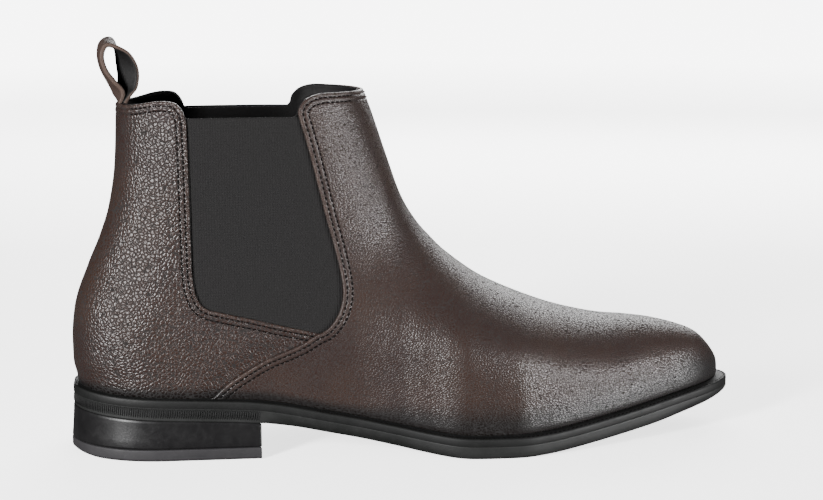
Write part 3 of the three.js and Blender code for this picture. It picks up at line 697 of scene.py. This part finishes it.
vamp_edge = curve_through(graded(SEAM + GORE_FRONT), 14)
edge_line, inner_line, run_share = edge_lines(vamp_edge, -EDGE_BAND, COLLAR_FRONT, 1, 12)
edge_line[:, 0] = np.clip(edge_line[:, 0], 0, 1)
inner_line[:, 0] = np.clip(inner_line[:, 0], 0, 1)
corner = nearest_share(vamp_edge, run_share, (-48.6, 145.6))
shares = np.r_[np.linspace(0, corner, VAMP_ROWS), np.linspace(corner, 1, VAMP_HALF_COLUMNS)[1:]]
edge_places = interp_line(shares, run_share, edge_line)
start_share = run_share[np.argmax(inner_line[:, 0] > 0) - 1]
inner_shares = shares + start_share * np.clip(1 - shares / (3 * start_share), 0, 1)
inner_places = interp_line(inner_shares, run_share, inner_line)
edge_places = np.vstack((edge_places, other_side(edge_places[-2::-1])))
inner_places = np.vstack((inner_places, other_side(inner_places[-2::-1])))

columns = 2 * VAMP_HALF_COLUMNS - 1
left = inner_places[:VAMP_ROWS]
top = inner_places[VAMP_ROWS - 1:VAMP_ROWS - 1 + columns]
right = inner_places[VAMP_ROWS - 2 + columns:][::-1]
across = np.linspace(0, 1, columns)
foot_run = np.stack((np.zeros(columns), left[0, 1] + (right[0, 1] - left[0, 1]) * across), -1)
foot_length = run_along(on_last(*foot_run.T))
foot_run = interp_line(across * foot_length[-1], foot_length, foot_run)
r, s = np.meshgrid(across, np.linspace(0, 1, VAMP_ROWS))
r, s = r[..., None], s[..., None]
flat = (foot_run[0] * (1 - r) + foot_run[-1] * r) * (1 - s) + (top[0] * (1 - r) + top[-1] * r) * s
middle = foot_run[None] * (1 - s) + top[None] * s + left[:, None] * (1 - r) + right[:, None] * r - flat
out = (1 - EDGE_STEPS[::-1])[:, None, None]
border = inner_places * (1 - out) + edge_places * out
places = np.concatenate((middle.reshape(-1, 2), border.reshape(-1, 2)))
patch_index = np.arange(VAMP_ROWS * columns).reshape(VAMP_ROWS, columns)
around = [*patch_index[:, 0], *patch_index[-1, 1:], *patch_index[-2::-1, -1]]
border_index = VAMP_ROWS * columns + np.arange(border.shape[0] * border.shape[1])
border_index = np.vstack((around, border_index.reshape(border.shape[:2])))
faces = grid_faces(VAMP_ROWS, columns)
faces += [(a, b, c, d) for low, high in zip(border_index[:-1], border_index[1:])
          for a, b, c, d in zip(low[:-1], low[1:], high[1:], high[:-1])]
rim = [*border_index[:, 0][::-1], *patch_index[0, 1:-1], *border_index[:, -1],
       *border_index[-1, -2:0:-1]]
border_gaps = np.repeat(EDGE_STEPS[::-1] * EDGE_BAND, border.shape[1])
gaps = np.r_[np.full(VAMP_ROWS * columns, FAR_IN), border_gaps]
side_places = side_place(*places.T)
near_seam = 1 - bell(distance_to(seam_line, side_places) / LAP_FADE)
height = fold_height(gaps) + LAP_RISE * near_seam - tuck(side_places)
vamp = panel("vamp_leather", places, faces, rim, height, LEATHER)
mark_leather(vamp, gaps, side_places)
vamp.data.materials.append(leather_finish(
    "fine_pebbled_leather", cell_scale=760, relief=0.2, unevenness=0.0009, crease_shade=0.7,
    stretch=1.7, dome_rough=0.34))
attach(vamp, "boot")
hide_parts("vamp")


# ---------------------------------------------------------------------------------------------
# Gores: a woven elastic panel on each side, cut straight at the top and sewn under the leather
# all round. Fine upright ribs run its full height.
GORE_BACK, GORE_FRONT_X, GORE_FOOT, GORE_TOP = -103, -27, 41, 140.7
GORE_BACK_DEPTH = 2.09
RIB_PITCH = 1.15
RIB_RISE = 0.26
RIB_DEPTH = 1.38
gore_x = np.linspace(GORE_BACK, GORE_FRONT_X, 331)
gore_h = np.r_[np.linspace(GORE_FOOT, GORE_TOP - 1.2, 40), GORE_TOP - 0.5, GORE_TOP - 0.15, GORE_TOP]
x, h = np.meshgrid(gore_x, gore_h)
gore_places = find_on_last(graded(np.stack((x.ravel(), h.ravel()), -1)))
ribs = -RIB_DEPTH - RIB_RISE * np.sin(np.pi * (x - GORE_BACK) / RIB_PITCH) ** 2
ribs = ribs - 0.45 * np.clip((h - GORE_TOP + 0.8) / 0.8, 0, 1) ** 2
elastic_finish, tree, shader, place = new_finish(
    "ribbed_elastic", 0.85, Sheen_Weight=0.03, Sheen_Roughness=0.5, Specular_IOR_Level=0.12)
knit = wire(tree, "ShaderNodeTexWave", {"Vector": place, "Scale": 270.0, "Distortion": 1.6, "Detail": 1.0,
                                        "Detail Scale": 6.0}, bands_direction="Z").outputs["Fac"]
fuzz = noise(tree, place, 2600, 2.0)
# Painted shade: the valleys between the ribs are darkened, crossed by the knit's woven bands.
knit_and_valley_shade = times(tree, marked(tree, "rib"), ease(tree, knit, 0.1, 0.7, 0.6, 1.0))
colour = blend_colour(tree, knit_and_valley_shade, grey(0.001), grey(0.0042, 0.0039, 0.0039))
colour = blend_colour(tree, ease(tree, fuzz, 0.5, 0.75, 0.0, 0.35), colour, grey(0.0085, 0.0082, 0.0082))
threads = math_of(tree, "ADD", knit, times(tree, fuzz, 0.6))
dress(tree, shader, colour, ease(tree, fuzz, 0.3, 0.7, 0.78, 0.92), threads, 0.35, 0.00025)


def normals_of(grid):
    """Outward normals of points whose rows rise and whose columns go from the outer side round
    the front."""
    n = np.cross(np.gradient(grid, axis=1), np.gradient(grid, axis=0))
    return n / np.linalg.norm(n, axis=-1, keepdims=True)


def shell(name, outside, inside):
    """A sheet with thickness: outer and inner grids joined all round."""
    rows, columns = outside.shape[:2]
    count = rows * columns
    faces = grid_faces(rows, columns) + grid_faces(rows, columns, count, flip=True)
    index = np.arange(count).reshape(rows, columns)
    for line in (index[0], index[:, -1], index[-1, ::-1], index[::-1, 0]):
        faces += [(a, a + count, b + count, b) for a, b in zip(line[:-1], line[1:])]
    return make_piece(name, np.concatenate((outside.reshape(-1, 3), inside.reshape(-1, 3))), faces)


for name, node, mirrored in (("gore_outer_elastic", "gore_lateral", False),
                             ("gore_inner_elastic", "gore_medial", True)):
    places = gore_places.reshape(*x.shape, 2)
    lift = ribs
    if mirrored:
        places = other_side(places)[:, ::-1]
        lift = ribs[:, ::-1]
    points = on_last(places[..., 0], places[..., 1])
    normals = normals_of(points)
    gore = shell(name, points + normals * lift[..., None], points - normals * GORE_BACK_DEPTH)
    mark(gore, "rib", np.tile((lift - lift.min()).ravel() / RIB_RISE, 2))
    gore.data.materials.append(elastic_finish)
    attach(gore, "boot")
    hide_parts(node)


# ---------------------------------------------------------------------------------------------
# Lining: thin black leather glued inside the whole upper, one tube from the footbed to the
# collar, where it ends flush with the leather's edge, and across behind the gores.
LINING = 1.1
LINING_TOP = [(-124, 145.6), (-119, 146.2), (-112, 147.5), (-106.5, 147.7), (-102.4, 146.2),
              (-99.6, 142.4), (-97.4, 140.1), (-90, 139.7), (-75, 139.7), (-60, 139.9),
              (-52.5, 140.2), (-49.8, 142), (-49, 145), (-46, 148), (-40, 150.1), (-32, 150.4)]
LINING_BACK, LINING_FRONT = 145.4, 150.4
RING = 400
LINING_DROP = 150
DEPTHS = (LINING_DROP, 135, 118, 100, 84, 70, 56, 44, 33, 24, 17, 12, 8.5, 6, 4.2, 3, 2, 1.2, .5, .12)


def weld(piece):
    sheet = bmesh.new()
    sheet.from_mesh(piece.data)
    bmesh.ops.remove_doubles(sheet, verts=sheet.verts, dist=1e-6)
    bmesh.ops.recalc_face_normals(sheet, faces=sheet.faces)
    sheet.to_mesh(piece.data)
    sheet.free()


top_line = find_on_last(curve_through(graded(LINING_TOP), 12))
top_line = np.vstack((ridge(LINING_BACK, 0), top_line, ridge(LINING_FRONT, 1)))
turns = np.linspace(0, 2, RING + 1)
folded = np.where(turns > 1, 2 - turns, turns)
lining_top = np.interp(folded, top_line[:, 1], top_line[:, 0])
t = lining_top[None] * (1 - np.array(DEPTHS)[:, None] / LINING_DROP)
side_places = side_place(t, turns[None])
below_rim = (lining_top[None] - t) * LINING_DROP
by_gore = bell((side_places[..., 0] + 106) / 6) * bell((-43 - side_places[..., 0]) / 6)
depth = 1.5 + 1.2 * bell(below_rim / 7) + 1.1 * by_gore * (1 - bell(below_rim / 7))
depth = depth + 1.5 * bell((112 - side_places[..., 1]) / 16)
points = on_last(t, np.broadcast_to(turns, t.shape))
normals = normals_of(points)
normals[:, 0] = normals[:, -1] = (normals[:, 0] + normals[:, -1]) / 2
outside = points - normals * depth[..., None]
inside = points - normals * (depth + LINING)[..., None]
rim_middle = points[-1:] - normals[-1:] * (depth[-1:] + LINING / 2)[..., None] + (0, 0, 0.35)
rings = np.concatenate((outside, rim_middle, inside[::-1], outside[:1]))
lining = make_piece("lining_leather", rings, grid_faces(rings.shape[0], RING + 1))
weld(lining)


def brighter(colour, by):
    return [c * by for c in colour[:3]] + [1]


def lining_finish(name, base, relief):
    finish, tree, shader, place = new_finish(name, 0.6, Specular_IOR_Level=0.1)
    grain = use_group(tree, GRAIN, Cells=1500.0, Unevenness=0.0008)
    colour = blend_colour(tree, ease(tree, grain["Tone"], 0.3, 0.7), base, brighter(base, 1.5))
    # Painted shade in the grain's creases.
    colour = blend_colour(tree, times(tree, grain["Creases"], 0.5), colour, grey(0.002))
    rough = ease(tree, grain["Height"], 0.1, 0.9, 0.72, 0.5)
    dress(tree, shader, colour, rough, grain["Height"], relief, 0.0002)
    return finish


lining.data.materials.append(lining_finish("black_lining_leather", grey(0.0012, 0.001, 0.001), 0.35))
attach(lining, "boot")
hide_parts("vamp_lining", "quarter_lining")


# ---------------------------------------------------------------------------------------------
# Stitches: waxed thread in short raised lengths, two rows along every leather edge. Each row is
# set out along a pattern line by its pitch.
STITCH_PITCH = 2.35
STITCH_LENGTH = 1.75
THREAD = 0.62
GORE_ROWS_FRONT, GORE_ROWS_BACK = -43, -121.5
ROW_POINTS = 400


def row_tree():
    """Rounded pieces set along a line: the tree for stitches and heel ribs."""
    tree = bpy.data.node_groups.new("pieces_in_a_row", "GeometryNodeTree")
    tree.interface.new_socket("Line", in_out="INPUT", socket_type="NodeSocketGeometry")
    for name in ("Pitch", "Along", "Across", "Tall"):
        tree.interface.new_socket(name, in_out="INPUT", socket_type="NodeSocketFloat")
    tree.interface.new_socket("Finish", in_out="INPUT", socket_type="NodeSocketMaterial")
    tree.interface.new_socket("Pieces", in_out="OUTPUT", socket_type="NodeSocketGeometry")
    given = tree.nodes.new("NodeGroupInput").outputs
    row = wire(tree, "GeometryNodeMeshToCurve", {"Mesh": given["Line"]}).outputs["Curve"]
    spots = wire(tree, "GeometryNodeCurveToPoints", {"Curve": row, "Length": given["Pitch"]},
                 mode="LENGTH").outputs
    bead = wire(tree, "GeometryNodeMeshUVSphere", {"Segments": 8, "Rings": 6, "Radius": 0.5}).outputs["Mesh"]
    bead = wire(tree, "GeometryNodeSetShadeSmooth", {"Geometry": bead}).outputs["Geometry"]
    sizes = {"X": given["Across"], "Y": given["Tall"], "Z": given["Along"]}
    size = wire(tree, "ShaderNodeCombineXYZ", sizes).outputs["Vector"]
    row = wire(tree, "GeometryNodeInstanceOnPoints", {
        "Points": spots["Points"], "Instance": bead, "Rotation": spots["Rotation"],
        "Scale": size}).outputs["Instances"]
    row = wire(tree, "GeometryNodeRealizeInstances", {"Geometry": row}).outputs["Geometry"]
    row = wire(tree, "GeometryNodeSetMaterial", {"Geometry": row, "Material": given["Finish"]})
    tree.links.new(row.outputs["Geometry"], tree.nodes.new("NodeGroupOutput").inputs["Pieces"])
    return tree


ROW_TREE = row_tree()


def row_of(name, lines, finish, pitch, along, across, tall):
    """One mesh of pieces along some 3-D lines, in millimetres."""
    edges, start = [], 0
    for line in lines:
        edges += [(start + i, start + i + 1) for i in range(len(line) - 1)]
        start += len(line)
    mesh = bpy.data.meshes.new(name + "_line")
    points = (np.vstack(lines) + (*LAST_SHIFT, 0)) * MM
    mesh.from_pydata(points.tolist(), edges, [])
    guide = bpy.data.objects.new(name + "_line", mesh)
    SCENE.collection.objects.link(guide)
    modifier = guide.modifiers.new("row", "NODES")
    modifier.node_group = ROW_TREE
    sizes = {"Pitch": pitch * MM, "Along": along * MM, "Across": across * MM, "Tall": tall * MM,
             "Finish": finish}
    for item in ROW_TREE.interface.items_tree:
        if item.in_out == "INPUT" and item.name in sizes:
            modifier[item.identifier] = sizes[item.name]
    bpy.context.view_layer.update()
    seen = guide.evaluated_get(bpy.context.evaluated_depsgraph_get())
    done = bpy.data.meshes.new_from_object(seen)
    bpy.data.objects.remove(guide)
    piece = bpy.data.objects.new(name, done)
    SCENE.collection.objects.link(piece)
    return piece


def lifted(places, lift):
    """A (t, turn) line in space, lifted off the last."""
    nudge = 1e-3
    t, turn = places.T
    point = on_last(t, turn)
    by_turn = on_last(t, turn + nudge) - on_last(t, turn - nudge)
    by_t = on_last(t + nudge, turn) - on_last(t - nudge, turn)
    normal = np.cross(by_turn, by_t)
    return point + normal / np.linalg.norm(normal, axis=1, keepdims=True) * np.asarray(lift)[..., None]


thread_finish, tree, shader, place = new_finish("waxed_thread", 0.6, Specular_IOR_Level=0.05)
ply = wire(tree, "ShaderNodeTexWave", {"Vector": place, "Scale": 900.0, "Distortion": 3.0},
           bands_direction="DIAGONAL").outputs["Fac"]
colour = blend_colour(tree, ply, grey(0.0004, 0.0003, 0.0003), grey(0.0016, 0.001, 0.0009))
dress(tree, shader, colour, ease(tree, ply, 0, 1, 0.8, 0.6), ply, 0.5, 0.0001)
rows_of_stitches = []
for reach in STITCH_ROWS:
    line = spaced(shift_line(quarter_edge, reach), np.linspace(0, 1, ROW_POINTS))
    clear = (line[:, 0] < GORE_ROWS_FRONT) & (line[:, 0] > GORE_ROWS_BACK)
    line = line[clear & (distance_to(seam_line, line) > 1)]
    lift = -SEAM_SINK * (1 - bell(distance_to(seam_line, line) / SEAM_FADE))
    places = find_on_last(line)
    rows_of_stitches += [lifted(places, lift), lifted(other_side(places), lift)]
for reach in STITCH_ROWS:
    line = spaced(shift_line(vamp_edge, -reach), np.linspace(0, 1, ROW_POINTS))
    line = line[line[:, 1] > foot_line(line[:, 0]) + 1]
    lift = LAP_RISE * (1 - bell(distance_to(seam_line, line) / LAP_FADE))
    lift = np.r_[lift, lift[-1]]
    places = np.vstack((find_on_last(line), ridge(COLLAR_FRONT - reach, 1)))
    rows_of_stitches += [lifted(places, lift), lifted(other_side(places), lift)]
stitches = row_of("upper_stitches", rows_of_stitches, thread_finish, STITCH_PITCH, STITCH_LENGTH,
                  THREAD, THREAD)
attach(stitches, "boot")


# ---------------------------------------------------------------------------------------------
# Outsole: one moulded rubber sole 5.9 mm thick, cemented under the welt from toe to heel. Its edge
# is rounded, bevelled at the waist, and finely ribbed round the heel.
OUTSOLE = 5.9
LEDGE_AT_HEEL = 2.4
HEEL_LENGTH = 82.5
BREAST = heel_x - LEDGE_AT_HEEL + HEEL_LENGTH
PLAN_POINTS = 420
SOLE_LEVELS = (  # how far in, less over the heel, more at the waist and the tip; height, more at the tip
    (2.4, 1.9, 2.2, 6, 0, 0), (1.3, 1.0, 1.9, 4, 0.12, 0.5), (0.7, 0.4, 1.6, 2.2, 0.5, 1.0),
    (0.35, 0.05, 1.1, 1.0, 1.3, 1.3), (0.12, -0.18, 0.6, 0.4, 2.4, 1.1), (0, -0.3, 0.2, 0, 3.6, 0.9),
    (0, -0.3, 0, 0, 5.3, 0), (0, 0, 0, 0, 5.76, 0), (0.04, 0, 0, 0, 5.86, 0), (0.18, 0, 0, 0, OUTSOLE, 0))
plan_turns = np.linspace(0, 2, PLAN_POINTS + 1)[:-1]
foot_plan = on_last(np.zeros(PLAN_POINTS), plan_turns)[:, :2]
plan_along = np.roll(foot_plan, -1, 0) - np.roll(foot_plan, 1, 0)
plan_out = np.stack((plan_along[:, 1], -plan_along[:, 0]), -1)
plan_out /= np.linalg.norm(plan_out, axis=1, keepdims=True)


def sole_reach(x):
    return LEDGE_AT_HEEL + 2.2 * bell((x + 110) / 80)


def plan_grid(inset, height, end=None, bow=0, across=12):
    """A level of the sole: chords from the outer edge to the inner edge, back to front."""
    x = foot_plan[:, 0]
    ring = foot_plan + plan_out * (sole_reach(x) - (inset(x) if callable(inset) else inset))[:, None]
    outer, inner = ring[:211], np.vstack((ring[:1], ring[:209:-1]))
    if end is not None:
        cut = []
        for half in (outer, inner):
            ahead = int(np.argmax(half[:, 0] > end))
            share = (end - half[ahead - 1, 0]) / (half[ahead, 0] - half[ahead - 1, 0])
            stop = half[ahead - 1] + (half[ahead] - half[ahead - 1]) * share
            cut.append(spaced(np.vstack((half[:ahead], stop)), np.linspace(0, 1, 120)))
        outer, inner = cut
    k = np.linspace(0, 1, across + 1)[None, :, None]
    grid = outer[:, None] * (1 - k) + inner[:, None] * k
    ramp = np.linspace(0, 1, len(grid))[:, None] ** 3
    grid[..., 0] -= bow * 4 * k[..., 0] * (1 - k[..., 0]) * ramp
    return np.concatenate((grid, height(grid[..., 0])[..., None]), -1)


def stack(name, levels):
    """A closed solid from levels of the same grid, lowest first."""
    rows, columns = levels[0].shape[:2]
    index = np.arange(rows * columns).reshape(rows, columns)
    rim = np.r_[index[:, 0], index[-1, 1:], index[-2::-1, -1]]
    vertices = [levels[0].reshape(-1, 3)]
    faces = grid_faces(rows, columns)
    low, start = rim, rows * columns
    for level in levels[1:-1]:
        vertices.append(level.reshape(-1, 3)[rim])
        high = start + np.arange(len(rim))
        faces += np.stack((low[:-1], low[1:], high[1:], high[:-1]), -1).tolist()
        low, start = high, start + len(rim)
    vertices.append(levels[-1].reshape(-1, 3))
    high = start + rim
    faces += np.stack((low[:-1], low[1:], high[1:], high[:-1]), -1).tolist()
    faces += grid_faces(rows, columns, start)
    piece = make_piece(name, np.vstack(vertices), faces)
    weld(piece)
    return piece


def waist(x):
    return bell((x + 66) / 18) * bell((24 - x) / 50)


def above_rise(lift):
    return lambda x: sole_rise(x) + lift


def under_heel(x):
    return bell((BREAST + 1 - x) / 1.5)


def tip(x):
    return bell((x - 108) / 46)


outsole_levels = []
for inset, at_heel, at_waist, at_tip, lift, tip_lift in SOLE_LEVELS:
    outsole_levels.append(plan_grid(
        lambda x: inset - at_heel * under_heel(x) + at_waist * waist(x) + at_tip * tip(x),
        lambda x: sole_rise(x) + lift + tip_lift * tip(x)))
outsole = stack("outsole_rubber", outsole_levels)


def rubber_finish(name, dark, light, rough, relief=0.3, speckle=1400.0):
    """Moulded rubber: cloudy tone, fine mould texture and a few rubbed spots."""
    finish, tree, shader, place = new_finish(name, rough, Specular_IOR_Level=0.16)
    cloud = noise(tree, place, 60, 4.0, 0.6)
    fine = noise(tree, place, speckle, 3.0, 0.6)
    scuff = noise(tree, place, 190.0, 4.0, bend=1.5)
    colour = blend_colour(tree, ease(tree, cloud, 0.3, 0.7), dark, light)
    colour = blend_colour(tree, ease(tree, fine, 0.55, 0.8, 0.0, 0.4), colour, brighter(light, 1.7))
    colour = blend_colour(tree, ease(tree, scuff, 0.62, 0.76, 0.0, 0.1), colour, brighter(light, 2.2))
    rough = ease(tree, scuff, 0.35, 0.7, rough - 0.03, rough + 0.05)
    dress(tree, shader, colour, rough, fine, relief, 0.0002)
    return finish


outsole.data.materials.append(rubber_finish(
    "outsole_black_rubber", grey(0.0042, 0.0044, 0.0042), grey(0.0072, 0.0074, 0.0072), 0.56))
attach(outsole, "boot")
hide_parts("outsole")


# ---------------------------------------------------------------------------------------------
# Welt: the 3.6 mm strip between upper and outsole. It stands out past the upper as a narrow ledge,
# level on top, and turns up a little where it meets the leather.
WELT_TOP = 9.5
WELT_EDGE = ((0.18, 5.93), (0.04, 5.97), (0, 6.06), (0, 8.4), (0.1, 8.95), (0.4, 9.34), (0.85, WELT_TOP))
WELT_REST = ((0.3, 0.05), (0.9, 0.4), (3, 0.3))  # past the upper's foot, above the ledge
welt_levels = [plan_grid(inset, above_rise(height)) for inset, height in WELT_EDGE]
welt_levels.append(plan_grid(lambda x: 0.85 + 0.35 * (sole_reach(x) - 0.9), above_rise(WELT_TOP - 0.12)))
for inset, lift in WELT_REST:
    welt_levels.append(plan_grid(lambda x: sole_reach(x) + inset, above_rise(WELT_TOP + lift)))
welt = stack("welt_strip", welt_levels)
welt.data.materials.append(rubber_finish(
    "dressed_welt", grey(0.0016, 0.0017, 0.0016), grey(0.003, 0.0031, 0.003), 0.6))
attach(welt, "boot")
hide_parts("welt")


# ---------------------------------------------------------------------------------------------
# Welt stitches: one row of fine stitches let into the welt's ledge, from the waist round the toe
# and back along the inner side.
WELT_STITCH_INSET = 1.15
WELT_STITCH_START = -45
WELT_STITCH = {"pitch": 2.2, "along": 1.5, "across": 0.6, "tall": 0.5}
ledge = plan_grid(WELT_STITCH_INSET, above_rise(WELT_TOP - 0.02))
ledge_line = np.vstack((ledge[:, 0], ledge[::-1, -1]))
ledge_line = ledge_line[ledge_line[:, 0] > WELT_STITCH_START]
welt_stitches = row_of("welt_stitches", [ledge_line], thread_finish, **WELT_STITCH)
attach(welt_stitches, "boot")


# ---------------------------------------------------------------------------------------------
# Heel: a moulded block 82.5 mm long under the seat, flared a little to the ground, its front face
# hollowed.
BREAST_HOLLOW = 4
LIFT_TOP = 5.3


def heel_level(flare, height, front=0):
    return plan_grid(-flare, height, BREAST + front, BREAST_HOLLOW)


def heel_rise(share, sink=0.0):
    """Height between the top lift and the underside of the outsole."""
    return lambda x: (LIFT_TOP + 0.25) * (1 - share) + (sole_rise(x) - sink) * share


HEEL_LEVELS = (  # flare, share of the way up, how far the front moves
    (0.7, 0, -0.5), (1.0, 0.02, -0.15), (1.08, 0.06, 0), (0.75, 0.3, 0), (0.42, 0.6, 0), (0.16, 0.9, 0),
    (0.1, 0.99, 0), (-0.1, 1.0, -0.2))
heel_block = stack("heel_block_moulded", [
    heel_level(flare, heel_rise(share), front) for flare, share, front in HEEL_LEVELS])
heel_block.data.materials.append(rubber_finish(
    "dressed_heel", grey(0.0028, 0.0027, 0.0029), grey(0.005, 0.0048, 0.005), 0.36, 0.22, 1100.0))
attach(heel_block, "boot")
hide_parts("heel_block")


# ---------------------------------------------------------------------------------------------
# Top lift: the 5.3 mm rubber wearing piece under the heel, a shade greyer than the block and cut
# back a little where the heel strikes the ground.
def lift_rise(height):
    return lambda x: height + 1.3 * (1 - height / LIFT_TOP) * bell((-134 - x) / 20) ** 2


LIFT_LEVELS = (  # flare, height, how far the front moves
    (-0.1, 0, -0.8), (0.75, 0.12, -0.2), (1.1, 0.55, 0), (1.2, 1.4, 0), (1.2, 4.6, 0), (1.12, 5.05, 0),
    (0.75, LIFT_TOP, -0.3))
top_lift = stack("top_lift_rubber", [
    heel_level(flare, lift_rise(height), front) for flare, height, front in LIFT_LEVELS])
top_lift.data.materials.append(rubber_finish(
    "grey_lift_rubber", grey(0.009, 0.0085, 0.0093), grey(0.0135, 0.0128, 0.0138), 0.6))
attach(top_lift, "boot")
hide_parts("top_lift")


# ---------------------------------------------------------------------------------------------
# Rand ribs: the fine upright ribs rolled into the outsole's edge all the way round the heel.
RAND_RIB = {"pitch": 1.0, "along": 0.6, "across": 0.85, "tall": 4.5}
heel_edge = plan_grid(0.28, above_rise(3.35), BREAST - 1, 0)
rand_line = np.vstack((heel_edge[::-1, 0], heel_edge[1:, -1]))
rand_finish = rubber_finish("ribbed_rand", grey(0.0012), grey(0.002), 0.7)
rand_ribs = row_of("heel_rand_ribs", [rand_line], rand_finish, **RAND_RIB)
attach(rand_ribs, "boot")


# ---------------------------------------------------------------------------------------------
# Pull loop: one leather strap folded into a loop, brown outside and black inside, its two ends
# sewn in behind the back collar. It turns over itself as it rises.
LOOP_LINE = [(-125.6, 138), (-126.1, 144), (-126.6, 149.6), (-129.4, 154.2), (-132.6, 159.6),
             (-134, 165.4), (-133.0, 170.2), (-130.2, 171.8), (-127.0, 169.2), (-124.0, 164.6),
             (-122.3, 158.8), (-122.5, 153.8), (-123.6, 149.6), (-124.2, 144), (-124.2, 138)]
LOOP_TWIST = [0, 0, 24, 15, 10, 9, 12, 12, -8, -38, -52, -48, -26, 0, 0]
STRAP_WIDTH = 11.5
STRAP_THICKNESS = 2.1
STRAP_SOFT_EDGE = 0.7
LOOP_COLOURS = (grey(0.02, 0.0125, 0.01), grey(0.03, 0.019, 0.015), grey(0.04, 0.026, 0.02),
                grey(0.0014, 0.0012, 0.0012))  # brown, warm brown, raw edge, inner face
line = curve_through(LOOP_LINE, 10)
stations = np.arange(len(LOOP_TWIST))
twist = smooth_line(np.stack((stations, LOOP_TWIST), -1))(np.linspace(0, stations[-1], len(line)))
twist = np.radians(twist)
along = np.gradient(line, axis=0)
along /= np.linalg.norm(along, axis=1, keepdims=True)
outward = np.stack((-along[:, 1], np.zeros(len(line)), along[:, 0]), -1)
sideways = np.array((0, 1, 0)) * np.cos(twist)[:, None] + outward * np.sin(twist)[:, None]
face_way = outward * np.cos(twist)[:, None] - np.array((0, 1, 0)) * np.sin(twist)[:, None]
half, thick, soft = STRAP_WIDTH / 2, STRAP_THICKNESS / 2, STRAP_SOFT_EDGE
section = [(-half, -thick + soft), (-half, thick - soft), (-half + 0.2, thick - 0.2), (-half + soft, thick)]
section += [(w, thick - 0.12 * math.exp(-((abs(w) - half + 1.6) / 0.3) ** 2))
            for w in np.linspace(-half + 1.1, half - 1.1, 27)]
section += [(-w, h) for w, h in section[3::-1]]
section += [(-w, -h) for w, h in section[1:4]]
section += [(w, -thick) for w in np.linspace(half - 1.4, -half + 1.4, 9)]
section += [(-half + soft, -thick), (-half + 0.2, -thick + 0.2)]
section = np.array(section)
centre = np.stack((line[:, 0] * LENGTH_GRADE, np.zeros(len(line)), line[:, 1] + SOLE_THICKNESS), -1)
strap_points = (centre[:, None] + sideways[:, None] * section[None, :, :1]
                + face_way[:, None] * section[None, :, 1:])
stations, around = strap_points.shape[:2]
index = np.arange(stations * around).reshape(stations, around)
index = np.concatenate((index, index[:, :1]), 1)
faces = [(a, b, c, d) for low, high in zip(index[:-1], index[1:])
         for a, b, c, d in zip(low[:-1], low[1:], high[1:], high[:-1])]
faces += [index[0, :-1], index[-1, -2::-1]]
strap = make_piece("pull_loop_strap", strap_points.reshape(-1, 3), faces)
mark(strap, "inner", np.tile(section[:, 1] < -thick + 0.35, stations))
mark(strap, "rim", np.tile(np.clip((np.abs(section[:, 0]) - half + 1.0) / 0.8, 0, 1), stations))
weld(strap)
strap_finish, tree, shader, place = new_finish("strap_leather", 0.6, Specular_IOR_Level=0.15)
grain = use_group(tree, GRAIN, Cells=1300.0, Unevenness=0.0008)
brown, warm_brown, raw_edge, inner_face = LOOP_COLOURS
colour = blend_colour(tree, grain["Tone"], brown, warm_brown)
# Painted shade in the grain's creases.
colour = blend_colour(tree, times(tree, grain["Creases"], 0.5), colour, LEATHER_PAINTED_SHADE)
colour = blend_colour(tree, times(tree, marked(tree, "rim"), 0.5), colour, raw_edge)
colour = blend_colour(tree, marked(tree, "inner"), colour, inner_face)
dress(tree, shader, colour, ease(tree, grain["Height"], 0.1, 0.9, 0.75, 0.5), grain["Height"], 0.4, 0.0002)
strap.data.materials.append(strap_finish)
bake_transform(strap)
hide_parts("pull_loop", "loop_tail")


# ---------------------------------------------------------------------------------------------
# Footbed: a padded sock of black leather over foam, lying on the insole board and dished a
# little under the foot.
def footbed_level(extra, height):
    return plan_grid(lambda x: sole_reach(x) + extra, above_rise(height))


FOOTBED_LEVELS = ((7.4, 12.0), (6.5, 12.2), (6.2, 13), (6.2, 14.5), (6.7, 14.95), (8, 14.7))
footbed = stack("footbed_sock", [footbed_level(extra, height) for extra, height in FOOTBED_LEVELS])
footbed.data.materials.append(lining_finish("black_sock_leather", grey(0.002, 0.0018, 0.0018), 0.3))
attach(footbed, "boot")
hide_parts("footbed")


# ---------------------------------------------------------------------------------------------
# Inside the boot: insole board, shank, fillers, stiffeners, nails and pins stay as they are made,
# each with its own material.
def fibre_finish(name, dark, light, grain_size, rough, metal=0.0):
    """Pressed fibre, cork or drawn steel: streaks and flecks in two tones."""
    finish, tree, shader, place = new_finish(name, rough)
    shader.inputs["Metallic"].default_value = metal
    flecks = noise(tree, place, grain_size, 4.0, 0.7)
    colour = blend_colour(tree, ease(tree, flecks, 0.35, 0.65), dark, light)
    rough = ease(tree, flecks, 0.3, 0.7, rough - 0.08, rough + 0.08)
    dress(tree, shader, colour, rough, flecks, 0.3, 0.0002)
    return finish


board_finish = fibre_finish("pressed_board", grey(0.16, 0.1, 0.055), grey(0.25, 0.17, 0.1), 500, 0.8)
cork_finish = fibre_finish("cork_filler", grey(0.2, 0.11, 0.05), grey(0.4, 0.25, 0.13), 900, 0.85)
steel_finish = fibre_finish("bright_steel", grey(0.45), grey(0.6), 1800, 0.32, 1.0)
stiffener_finish = fibre_finish("stiffener_felt", grey(0.3, 0.27, 0.22), grey(0.42, 0.38, 0.32), 1500, 0.9)
KEPT_NODES = {"insole_board": board_finish, "forefoot_filler": cork_finish, "heel_filler": board_finish,
              "heel_counter": stiffener_finish, "toe_puff": stiffener_finish, "shank": steel_finish}
for node_name, node in frame["nodes"].items():
    finish = KEPT_NODES.get(node_name, steel_finish if "nail" in node_name or "pin" in node_name else None)
    if finish:
        for place_for_finish in node.material_slots:
            place_for_finish.material = finish
